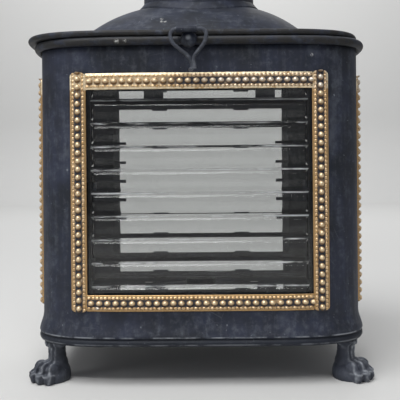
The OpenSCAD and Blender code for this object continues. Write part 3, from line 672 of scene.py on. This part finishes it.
def bead_shade(along, across, level):
    """1 on the lower side of a large bead and just below it, where brown is painted as shade, and 0 elsewhere."""
    ahead = ((along / bead_pitch) % 1 - 0.5) * bead_pitch
    aside = across - trim_w / 2
    reach = math.hypot(ahead, aside) / (2.3 * mm)
    down = -(aside if level else ahead) / (2.3 * mm)
    return max(0.0, min(1.0, 1.6 * down)) * max(0.0, min(1.0, 4 - 3 * reach))


def pressed(along, across):
    """Height of the trim's face, and how much of a hollow it is there."""
    edge_gap = min(across, trim_w - across)
    centre_gap = abs(across - trim_w / 2)
    large = bead(along, centre_gap, bead_pitch, 2.3 * mm, 1.95 * mm)
    small = bead(along, edge_gap - 2.15 * mm, small_pitch, 1.38 * mm, 0.95 * mm)
    if centre_gap < 2.2 * mm:
        return 0.9 * mm + 2.3 * mm * large, 1 - min(1.0, 2.2 * large)
    if edge_gap < 1.15 * mm:
        return trim_edge - 0.25 * mm * max(0.0, 1 - edge_gap / (0.5 * mm)), 0.0
    return 0.85 * mm + 0.85 * mm * small, 0.75 * (1 - min(1.0, 2.5 * small))


def wall_spot(side, along, height, z):
    """A point on the outside of a wall, a height off it."""
    long_half, deep_half = (half_w, half_d) if side in ("front", "back") else (half_d, half_w)
    share = along / long_half
    bow = (1 - abs(share) ** squareness) ** (1 / squareness)
    normal = Vector((sign_power(share, squareness - 1) / long_half, bow ** (squareness - 1) / deep_half)).normalized()
    u = along + height * normal.x
    v = deep_half * bow + height * normal.y
    place = {"front": (u, -v, z), "back": (-u, v, z), "left": (-v, -u, z), "right": (v, u, z)}
    return Vector(place[side])


def make_strip(name, side, level, start, low_z, length):
    """One strip of trim, lying level or standing upright on a wall, from a start place along it."""
    bm = bmesh.new()
    columns = round(length / grid_pitch)
    rows = round(trim_w / grid_pitch)
    bmesh.ops.create_grid(bm, x_segments=columns, y_segments=rows, size=0.5)
    relief = bm.verts.layers.float.new("relief")
    hollow = bm.verts.layers.float.new("hollow")
    edge = bm.verts.layers.float.new("edge")
    shade = bm.verts.layers.float.new("shade")
    for vert in bm.verts:
        vert.co.x = (vert.co.x + 0.5) * length
        vert.co.y = (vert.co.y + 0.5) * trim_w
        height, vert[hollow] = pressed(vert.co.x, vert.co.y)
        vert[relief] = height / trim_high
        vert[shade] = bead_shade(vert.co.x, vert.co.y, level)
        vert[edge] = 1 if min(vert.co.y, trim_w - vert.co.y) < 1.2 * mm else 0
        vert.co.z = height
    close_back(bm)
    for vert in bm.verts:
        along, across, height = vert.co
        if level:
            vert.co = wall_spot(side, start + along, height, low_z + across)
        else:
            vert.co = wall_spot(side, start + across, height, low_z + rounded(along, across, length))
    bmesh.ops.recalc_face_normals(bm, faces=bm.faces)
    return add_piece(name + "_strip", bm, "case", "brass", [name], crease=75)


def rounded(along, across, length):
    """Draws the corners of an upright's two ends in."""
    reach = trim_w / 2
    corner = 0.45 + 0.55 * math.sqrt(max(0.0, 1 - (across / reach - 1) ** 2))
    if along > length - reach:
        return length - reach + (along - length + reach) * corner
    if along < reach:
        return reach - (reach - along) * corner
    return along


def close_back(bm):
    """Gives a pressed grid its side walls and a back."""
    rim = [edge for edge in bm.edges if edge.is_boundary]
    walls = bmesh.ops.extrude_edge_only(bm, edges=rim)["geom"]
    for vert in (item for item in walls if isinstance(item, bmesh.types.BMVert)):
        vert.co.z = trim_root
    foot = [item for item in walls if isinstance(item, bmesh.types.BMEdge) and item.is_boundary]
    front = [edge for edge in foot if max(vert.co.y for vert in edge.verts) < 1e-7]
    across = bmesh.ops.extrude_edge_only(bm, edges=front)["geom"]
    for vert in (item for item in across if isinstance(item, bmesh.types.BMVert)):
        vert.co.y = trim_w
    bmesh.ops.remove_doubles(bm, verts=bm.verts, dist=1e-6)
    bmesh.ops.holes_fill(bm, edges=[edge for edge in bm.edges if edge.is_boundary], sides=0)


def make_trims():
    tall = upright_high - upright_low
    ends = {
        "front": ("left", "right", window_half),
        "back": ("right", "left", back_window_half),
        "left": ("back", "front", side_window_half),
        "right": ("front", "back", side_window_half),
    }
    for side, (first, last, half) in ends.items():
        make_strip(f"{side}_trim_top", side, True, -half, head_z, 2 * half)
        make_strip(f"{side}_trim_bottom", side, True, -half, sill_z - trim_w, 2 * half)
        make_strip(f"{side}_trim_{first}", side, False, -half - trim_w, upright_low, tall)
        make_strip(f"{side}_trim_{last}", side, False, half, upright_low, tall)


# Glass


def make_fluted_glass():
    """The thick front pane: flat outside, with level flutes pressed into its back."""
    low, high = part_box("front_glass")
    pitch, flute_r, flute_half = 16.65 * mm, 16 * mm, 77.5 * mm
    ridge_soft = 0.15 * mm
    flat_r = math.sqrt(flute_r**2 - (pitch / 2) ** 2)
    middle = (low.z + high.z) / 2
    bm = bmesh.new()
    bmesh.ops.create_grid(bm, x_segments=120, y_segments=480, size=0.5)
    painted_glint = bm.verts.layers.float.new("painted_glint")
    for vert in bm.verts:
        aside = 2 * abs(vert.co.x)
        x = math.copysign((high.x - low.x) / 2 * (1 - (1 - aside) ** 1.5), vert.co.x)
        z = vert.co.y * (high.z - low.z)
        place = (z / pitch) % 1 - 0.5
        sunk = math.sqrt(flute_r**2 - (place * pitch) ** 2) - flat_r
        sunk = math.hypot(sunk, ridge_soft) - ridge_soft
        down = (0.5 - place) * pitch
        # Marks a line below each ridge where the glass material paints a highlight.
        vert[painted_glint] = max(0.0, 1 - abs(down - 1.2 * mm) / (0.8 * mm)) if abs(x) < flute_half else 0
        end = max(0.0, min(1.0, (flute_half - abs(x)) / (1.6 * mm)))
        sunk *= end * end * (3 - 2 * end)
        vert.co = Vector((x, high.y - sunk, middle + z))
    rim = [edge for edge in bm.edges if edge.is_boundary]
    sides = bmesh.ops.extrude_edge_only(bm, edges=rim)["geom"]
    for vert in (item for item in sides if isinstance(item, bmesh.types.BMVert)):
        vert.co.y = low.y
    bmesh.ops.holes_fill(bm, edges=[edge for edge in bm.edges if edge.is_boundary], sides=0)
    bmesh.ops.recalc_face_normals(bm, faces=bm.faces)
    add_piece("fluted_pane", bm, "case", "fluted_glass", ["front_glass"], crease=35)


def make_plain_panes():
    for side in ("back", "left", "right"):
        low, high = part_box(f"{side}_glass")
        bm = bmesh.new()
        size = Matrix.Diagonal((*(high - low), 1))
        bmesh.ops.create_cube(bm, size=1, matrix=Matrix.Translation((low + high) / 2) @ size)
        bmesh.ops.bevel(
            bm, geom=bm.edges[:], offset=0.25 * mm, segments=2, affect="EDGES", profile=0.5, material=-1
        )
        add_piece(f"{side}_pane", bm, "case", "pane_glass", [f"{side}_glass"], crease=35)


# Feet


def make_paw():
    """One cast lion's paw in its own frame: toes towards +X, stud on the Z axis, sole at zero."""
    bm = bmesh.new()
    for place, radii in (
        ((3.6, 0, 3.2), (13.2, 12, 9.6)),
        ((-1.8, 0, 4), (8.4, 9.4, 11)),
        ((-1.0, 0, 11), (7.4, 7.6, 9)),
        ((4.5, 0, 9.4), (8.2, 9, 6)),
        ((-0.3, 0, 17), (6.7, 6.7, 7)),
        ((0, 0, 21.5), (6.6, 6.4, 6.5)),
        ((0, 0, 26.8), (8.8, 8.6, 4.0)),
    ):
        bmesh.ops.create_uvsphere(bm, u_segments=32, v_segments=20, radius=mm, matrix=blob_matrix(place, radii))
    for toe in range(4):
        place = toe - 1.5
        y, x = place * 5.87, 15.6 - 1.26 * place * place
        bmesh.ops.create_uvsphere(
            bm, u_segments=24, v_segments=16, radius=mm, matrix=blob_matrix((x, y, 4.0), (5.0, 3.6, 4.8))
        )
        bmesh.ops.create_uvsphere(
            bm, u_segments=24, v_segments=16, radius=mm, matrix=blob_matrix((x - 4.4, 0.9 * y, 9.2), (5.6, 3.5, 4.8))
        )
    rough = bpy.data.meshes.new("paw_clay")
    bm.to_mesh(rough)
    bm.free()
    clay = bpy.data.objects.new("paw_clay", rough)
    bpy.context.scene.collection.objects.link(clay)
    skin = clay.modifiers.new("skin", "REMESH")
    skin.mode = "VOXEL"
    skin.voxel_size = 0.55 * mm
    bm = baked(clay)
    bpy.data.objects.remove(clay)
    for _ in range(3):
        bmesh.ops.smooth_vert(bm, verts=bm.verts, factor=0.5, use_axis_x=True, use_axis_y=True, use_axis_z=True)
    chase_paw(bm)
    return bm


def blob_matrix(place, radii):
    return Matrix.Translation(Vector(place) * mm) @ Matrix.Diagonal((*radii, 1))


def ridge_share(distance, width):
    return math.exp(-((distance / width) ** 2))


def chase_paw(bm):
    """Raises the tendons, knuckle line and claws, sinks the lines between the toes, and cuts the sole flat."""
    ridge = bm.verts.layers.float.new("ridge")
    bm.normal_update()
    top = base_z
    for vert in bm.verts:
        place = vert.co / mm
        reach = math.hypot(place.x + 2, place.y)
        turn = math.atan2(place.y, place.x + 2)
        front = max(0.0, min(1.0, (place.x - 2) / 4))
        turn += 0.10 * noise.noise(place * 0.22)
        lines = [math.radians(degrees) for degrees in (-38, -13, 11, 35)]
        gaps = [math.radians(degrees) for degrees in (-24, 0, 24)]
        tendon = max(ridge_share((turn - line) * reach, 0.75) for line in lines) * front
        tendon *= 1 if place.z > 6 else 0.75
        gap = max(ridge_share((turn - line) * reach, 1.4) for line in gaps) * front
        wave = 0.7 * noise.noise(place * 0.3 + Vector((5, 1, 2)))
        knuckle = ridge_share(place.z - 6.4 - wave, 0.7) * max(0.0, min(1.0, (place.x - 7) / 3))
        share = min(1.0, max(tendon, knuckle)) * (0.7 + 0.6 * noise.noise(place * 0.5))
        leaf = max(0.0, min(1.0, (place.z - 21.5) / 2)) * math.sin(5 * turn + 0.6 * place.z)
        vert[ridge] = max(0.0, share) + 0.3 * max(0.0, leaf)
        vert.co += vert.normal * (0.55 * share - 1.15 * gap * (1 - knuckle) - 0.5 * max(0.0, -leaf)) * mm
        vert.co.z = min(max(vert.co.z, 0), top)


def make_feet():
    paw = make_paw()
    shape = bpy.data.meshes.new("paw")
    paw.to_mesh(shape)
    paw.free()
    for depth, sy in (("front", -1), ("back", 1)):
        for side, sx in (("left", -1), ("right", 1)):
            name = f"foot_{depth}_{side}"
            bm = bmesh.new()
            bm.from_mesh(shape)
            slew = math.radians(9) if (sx, sy) == (1, -1) else 0
            turn = Matrix.Rotation(math.atan2(sy, sx) + slew, 4, "Z")
            place = Vector((sx * stud_x, sy * stud_y, 0))
            bmesh.ops.transform(bm, matrix=Matrix.Translation(place) @ turn, verts=bm.verts)
            add_piece(f"paw_{depth}_{side}", bm, "case", "cast", [name], crease=60)
    bpy.data.meshes.remove(shape)


nut_low, nut_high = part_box("foot_nuts")
nut_half = 3.5 * mm
stud_x = nut_high.x - nut_half / math.cos(math.radians(30))
stud_y = nut_high.y - nut_half


# Lid


def make_dome():
    """The pillow-shaped lid: an outer and an inner face, with its rim curled over a wire."""
    hole_code, rim_code = 0.1, 0.9
    rings = 36
    foot_off = -1.2 * mm
    wire_centre = (1 + 2.9 * mm, lid_z + 2.1 * mm)
    roll_r = 2.1 * mm
    outer = [(hole_code + (rim_code - hole_code) * i / rings, 1.0) for i in range(rings + 1)]
    inner = [(hole_code + (rim_code - hole_code) * i / rings, -1.0) for i in range(rings, -1, -1)]
    profile = list(outer)
    profile += [(1 + foot_off, dome_z + 0.1 * mm), (1 - 0.5 * mm, dome_z - 0.8 * mm)]
    profile += arc(wire_centre, roll_r, 195, -90, 24)
    profile += [(1 + foot_off - sheet_t, lid_z), (1 - 2.4 * mm, lid_z + 0.9 * mm)]
    profile += inner
    bm = spun(profile, plan_steps, closed=True)
    for vert in bm.verts:
        turn = math.atan2(vert.co.y, vert.co.x)
        code = math.hypot(vert.co.x, vert.co.y)
        if code > 0.95:
            spot = plan_spot(turn, code - 1)
            vert.co.x, vert.co.y = spot.x - lid_slip, spot.y
            continue
        inside = vert.co.z < 0
        s = (rim_code - code) / (rim_code - hole_code)
        outer_spot = plan_spot(turn, 0, 0.982)
        inner_spot = outer_spot.normalized() * chimney_r
        spot = outer_spot.lerp(inner_spot, s)
        share = plan_share(*spot)
        z = dome_height(share) - (1.3 * sheet_t if inside else 0)
        z -= dented(Vector((spot.x, spot.y, 0)), 0.5 * mm, 35) * math.sin(math.pi * s) * (0 if inside else 1)
        vert.co = Vector((spot.x - lid_slip * share * share, spot.y, z))
    bmesh.ops.recalc_face_normals(bm, faces=bm.faces)
    add_piece("dome_sheet", bm, "lid", "lid", ["lid_dome"], crease=50)


def make_skirt():
    low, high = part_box("lid_skirt")
    share = 0.93
    bm = spun([(1, low.z), (1, high.z), (1 - sheet_t, high.z), (1 - sheet_t, low.z)], plan_steps, closed=True)
    for vert in bm.verts:
        off = math.hypot(vert.co.x, vert.co.y) - 1
        spot = plan_spot(math.atan2(vert.co.y, vert.co.x), off, share)
        vert.co.x, vert.co.y = spot.x - lid_slip * share * share, spot.y
    bmesh.ops.recalc_face_normals(bm, faces=bm.faces)
    add_piece("skirt_sheet", bm, "lid", "plain", ["lid_skirt"])


def make_chimney():
    low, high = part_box("chimney")
    rows = 14
    edge = 0.5 * mm
    outer = [(chimney_r, low.z + (high.z - edge - low.z) * i / rows) for i in range(rows + 1)]
    inner = [(chimney_r - chimney_t, z) for _, z in reversed(outer)]
    lip = arc((chimney_r - chimney_t / 2, high.z - edge), chimney_t / 2, 0, 180, 6)
    bm = spun(outer[:-1] + lip + inner[1:], 160, closed=True)
    for vert in bm.verts:
        place = Vector((vert.co.x, vert.co.y, vert.co.z))
        reach = math.hypot(place.x, place.y)
        vert.co.xy = place.xy * (1 - dented(place, 0.35 * mm, 22) / reach)
    add_piece("chimney_tube", bm, "lid", "lid", ["chimney"])


def make_collar():
    """A bevelled ring round the chimney's foot that follows the dome."""
    lift = 0.15 * mm
    start = chimney_r + 0.1 * mm
    section = [(0, -0.4), (4.3, -0.4), (4.3, 0.7), (3.9, 1.1), (2.2, 2.5), (1.0, 3.8), (0.6, 4.0), (0, 4.0)]
    bm = spun([(start + x * mm, z * mm + lift) for x, z in section], 160, closed=True)
    for vert in bm.verts:
        vert.co.z += dome_height(slipped_share(vert.co.x, vert.co.y))
    bmesh.ops.recalc_face_normals(bm, faces=bm.faces)
    add_piece("collar_ring", bm, "lid", "plain", ["chimney_collar"])


def slipped_share(x, y):
    """The dome's share at a place, with the lid's slip to the left allowed for."""
    first = plan_share(x, y)
    second = plan_share(x + lid_slip * first * first, y)
    return plan_share(x + lid_slip * second * second, y)


def cap_height(r):
    return cap_z + cap_h * (1 - (r / cap_r) ** cap_fullness)


def make_cap():
    """The vent cap, with its rolled edge."""
    rings = 24
    edge_r = 1.8 * mm
    reach = cap_r - 1.2 * edge_r
    radii = [0.3 * mm + (reach - 0.3 * mm) * i / rings for i in range(rings + 1)]
    outer = [(r, cap_height(r)) for r in radii]
    inner = [(r, cap_height(r) - chimney_t) for r in reversed(radii)]
    roll = arc((cap_r - edge_r, cap_z - chimney_t), edge_r, 100, -200, 20)
    bm = spun(outer + roll + inner, 128, closed=True)
    close_pole(bm)
    add_piece("cap_sheet", bm, "lid", "lid", ["vent_cap"], crease=50)


def close_pole(bm):
    """Fills the small holes that a spin leaves on its axis."""
    middle = [vert for vert in bm.verts if math.hypot(vert.co.x, vert.co.y) < 0.5 * mm]
    upper = max(vert.co.z for vert in middle)
    faces = [face for face in bm.faces if all(vert in middle for vert in face.verts)]
    bmesh.ops.delete(bm, geom=faces, context="FACES_ONLY")
    rims = [edge for edge in bm.edges if edge.is_boundary]
    bmesh.ops.holes_fill(bm, edges=rims, sides=0)
    bmesh.ops.recalc_face_normals(bm, faces=bm.faces)


def make_lug():
    low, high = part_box("ring_lug")
    eye_r = 2.9 * mm
    head_r = high.z - ring_at.z
    width = 5 * mm
    bm = spun([(eye_r, -width / 2), (head_r, -width / 2), (head_r, width / 2), (eye_r, width / 2)], 48, closed=True)
    stretch_foot(bm, ring_at.z - low.z - 0.4 * mm, eye_r, head_r)
    edges = [edge for edge in bm.edges if edge.calc_face_angle(0) > 1]
    bmesh.ops.bevel(bm, geom=edges, offset=0.4 * mm, segments=2, affect="EDGES", profile=0.5, material=-1)
    turn = Matrix.Translation(ring_at) @ Matrix.Rotation(math.pi / 2, 4, "Y")
    bmesh.ops.transform(bm, matrix=turn, verts=bm.verts)
    add_piece("lug_eye", bm, "lid", "plain", ["ring_lug"])
    dish = spun(
        [(0.3 * mm, 1.2 * mm), (7 * mm, 1.1 * mm), (8.6 * mm, 0.4 * mm), (9 * mm, -0.6 * mm), (0.3 * mm, -0.6 * mm)],
        48,
        closed=True,
    )
    for vert in dish.verts:
        vert.co.z += cap_height(min(math.hypot(vert.co.x, vert.co.y), cap_r))
    close_pole(dish)
    add_piece("lug_dish", dish, "lid", "plain")


def stretch_foot(bm, drop, eye_r, head_r):
    """Draws the lower half of a ring straight down to a foot. Down is +X here."""
    for vert in bm.verts:
        if vert.co.x > 0 and math.hypot(vert.co.x, vert.co.y) > eye_r + 0.5 * mm:
            vert.co.y = math.copysign(head_r, vert.co.y) if abs(vert.co.y) > 0.2 * head_r else vert.co.y
            vert.co.x = drop if abs(vert.co.y) < head_r or vert.co.x > 0.3 * head_r else vert.co.x


def make_ring():
    mean_r, wire_r = 30 * mm, 2.5 * mm
    lie = math.radians(23)
    bm = spun(arc((mean_r, 0), wire_r, 0, 345, 23), 144, closed=True)
    turn = Matrix.Translation(ring_at) @ Matrix.Rotation(-lie, 4, "X") @ Matrix.Translation((0, mean_r, 0))
    bmesh.ops.transform(bm, matrix=turn, verts=bm.verts)
    bmesh.ops.recalc_face_normals(bm, faces=bm.faces)
    add_piece("ring_wire", bm, "ring", "plain", ["carry_ring"])


# Hasp


def make_knob():
    low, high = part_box("hasp_knob")
    middle = (low + high) / 2
    root_y = -(half_d + 2.1 * mm)
    length = root_y - low.y
    r = (high.x - low.x) / 2
    neck = 0.55 * r
    face = length - 3 * mm
    section = [(0.2 * mm, 0), (neck, 0), (neck, face - 0.3 * mm), (0.9 * r, face), (r, face + 0.5 * mm)]
    crown = [
        (r * math.cos(a), face + 0.5 * mm + 2.5 * mm * math.sin(a))
        for a in (math.radians(90 * i / 14) for i in range(1, 14))
    ]
    bm = spun(section + crown + [(0.2 * mm, length)], 48, closed=True)
    close_pole(bm)
    for vert in bm.verts:
        vert.co += Vector((1, 1, 0)) * 0.25 * mm * noise.noise(vert.co * 300)
    place = Matrix.Translation((middle.x, root_y, middle.z)) @ Matrix.Rotation(math.pi / 2, 4, "X")
    bmesh.ops.transform(bm, matrix=place, verts=bm.verts)
    bmesh.ops.recalc_face_normals(bm, faces=bm.faces)
    add_piece("knob_cast", bm, "case", "knob", ["hasp_knob"], crease=55)


def wire_piece(name, points, radius, body, material, replaces, closed=False):
    """A round wire bent along points, with smooth bends."""
    line = bpy.data.curves.new(name, "CURVE")
    line.dimensions = "3D"
    line.bevel_depth = radius
    line.bevel_resolution = 5
    line.resolution_u = 10
    line.use_fill_caps = True
    path = line.splines.new("BEZIER")
    path.bezier_points.add(len(points) - 1)
    for point, place in zip(path.bezier_points, points):
        point.co = place
        point.handle_left_type = point.handle_right_type = "AUTO"
    path.use_cyclic_u = closed
    curve = bpy.data.objects.new(name + "_line", line)
    bpy.context.scene.collection.objects.link(curve)
    bm = baked(curve)
    bpy.data.objects.remove(curve)
    bmesh.ops.remove_doubles(bm, verts=bm.verts, dist=0.01 * mm)
    bmesh.ops.recalc_face_normals(bm, faces=bm.faces)
    return add_piece(name, bm, body, material, replaces)


def make_loop():
    """The heart-shaped wire loop: straight over its pivot, round shoulders, and legs drawn together to a tail."""
    wire_r = 1.4 * mm
    left_leg = [
        (0.4, -0.4, -28.1), (1.6, 0.3, -27.4), (2.1, 0.4, -25), (1.2, 0.3, -21.4), (-0.4, 0.1, -18.8),
        (-3.1, 0, -16.2), (-7.3, 0, -12.9), (-11.2, 0, -9), (-12.5, 0, -5.4), (-12.1, 0, -2.2), (-9.6, 0, -0.2),
        (-6, 0, 0),
    ]
    right_leg = [
        (6, 0, 0), (9.0, 0, 0), (11.6, 0, -1.8), (12.0, 0, -4.9), (10.9, 0, -8.7), (8.8, 0, -12.2), (5.9, 0, -15.8),
        (3.9, 0, -18.6), (3.3, 0, -21.6), (3.7, -0.1, -25), (4.0, -0.1, -27.2),
    ]
    outline = [loop_at + Vector(place) * mm for place in left_leg + [(0, 0, 0)] + right_leg]
    wire_piece("loop_wire", outline, wire_r, "hasp", "wire", ["hasp_loop"])


def make_hasp_tab():
    """A strip bent round the loop's pivot, led over the lid's rim and soldered to the apron."""
    low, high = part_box("hasp_tab")
    width = high.x - low.x
    turn_r = 2.2 * mm
    strip_t = 0.8 * mm
    middle_r = turn_r - strip_t / 2
    centre = Vector((loop_at.y, loop_at.z))
    over_rim = ((3, 1.9), (7, 2.0), (9.2, 2.0), (11, 1.8), (13.5, 1.3), (16, 0.95), (18, 0.95), (20.8, 1.45))
    round_pin = arc((centre.x, centre.y), middle_r, 75, 400, 24)
    path = [Vector(point) for point in round_pin[::-1]] + [centre + Vector(step) * mm for step in over_rim]
    bm = bmesh.new()
    verts = [bm.verts.new((low.x, point.x, point.y)) for point in path]
    edges = [bm.edges.new(pair) for pair in zip(verts, verts[1:])]
    grown = bmesh.ops.extrude_edge_only(bm, edges=edges)["geom"]
    for vert in (item for item in grown if isinstance(item, bmesh.types.BMVert)):
        vert.co.x += width
    bmesh.ops.recalc_face_normals(bm, faces=bm.faces)
    tab = add_piece("tab_strip", bm, "lid", "tab", ["hasp_tab"])
    thick = tab.modifiers.new("thick", "SOLIDIFY")
    thick.thickness = strip_t
    thick.offset = 0
    edge = tab.modifiers.new("edge", "BEVEL")
    edge.width = 0.15 * mm
    edge.segments = 2


# Finishes of the CAD nodes that stay as they are


def dress_nodes():
    steel = ("body_rim_wire", "lid_rim_wire", "foot_nuts", "candle_rivet", "hinge_pin")
    rivets = ("hinge_body_rivets", "hinge_lid_rivets")
    for name, node in frame["nodes"].items():
        material = finish["steel"] if name in steel + rivets else finish["plain"]
        if node.data.materials:
            node.data.materials[0] = material
        else:
            node.data.materials.append(material)


# Stage


def add_stage():
    """A pale floor that turns up into a pale wall, and an even pale world."""
    bm = bmesh.new()
    bmesh.ops.create_grid(bm, x_segments=1, y_segments=1, size=1)
    for vert in bm.verts:
        vert.co.x *= 3
        vert.co.y = -2.5 if vert.co.y < 0 else 2.4
    back = [edge for edge in bm.edges if all(vert.co.y > 0 for vert in edge.verts)]
    wall = bmesh.ops.extrude_edge_only(bm, edges=back)["geom"]
    for vert in (item for item in wall if isinstance(item, bmesh.types.BMVert)):
        vert.co.z = 2.5
    bmesh.ops.bevel(bm, geom=back, offset=0.35, segments=14, affect="EDGES", profile=0.5, material=-1)
    bmesh.ops.recalc_face_normals(bm, faces=bm.faces)
    mesh = bpy.data.meshes.new("backdrop")
    bm.to_mesh(mesh)
    bm.free()
    mesh.shade_smooth()
    f = Finish("backdrop_paint")
    f.surface(Base_Color=(0.62, 0.62, 0.61, 1), Roughness=0.9)
    mesh.materials.append(f.material)
    backdrop = bpy.data.objects.new("backdrop", mesh)
    bpy.context.scene.collection.objects.link(backdrop)
    world = bpy.data.worlds.new("studio")
    world.use_nodes = True
    world.node_tree.nodes["Background"].inputs["Color"].default_value = (0.95, 0.96, 1.0, 1)
    world.node_tree.nodes["Background"].inputs["Strength"].default_value = 0.3
    bpy.context.scene.world = world


bpy.context.scene.view_settings.view_transform = "Standard"
add_camera()
add_lamps()
add_stage()
dress_nodes()
make_body_shell()
make_rim_curl()
make_trims()
make_fluted_glass()
make_plain_panes()
make_feet()
make_dome()
make_skirt()
make_chimney()
make_collar()
make_cap()
make_lug()
make_ring()
make_knob()
make_loop()
make_hasp_tab()
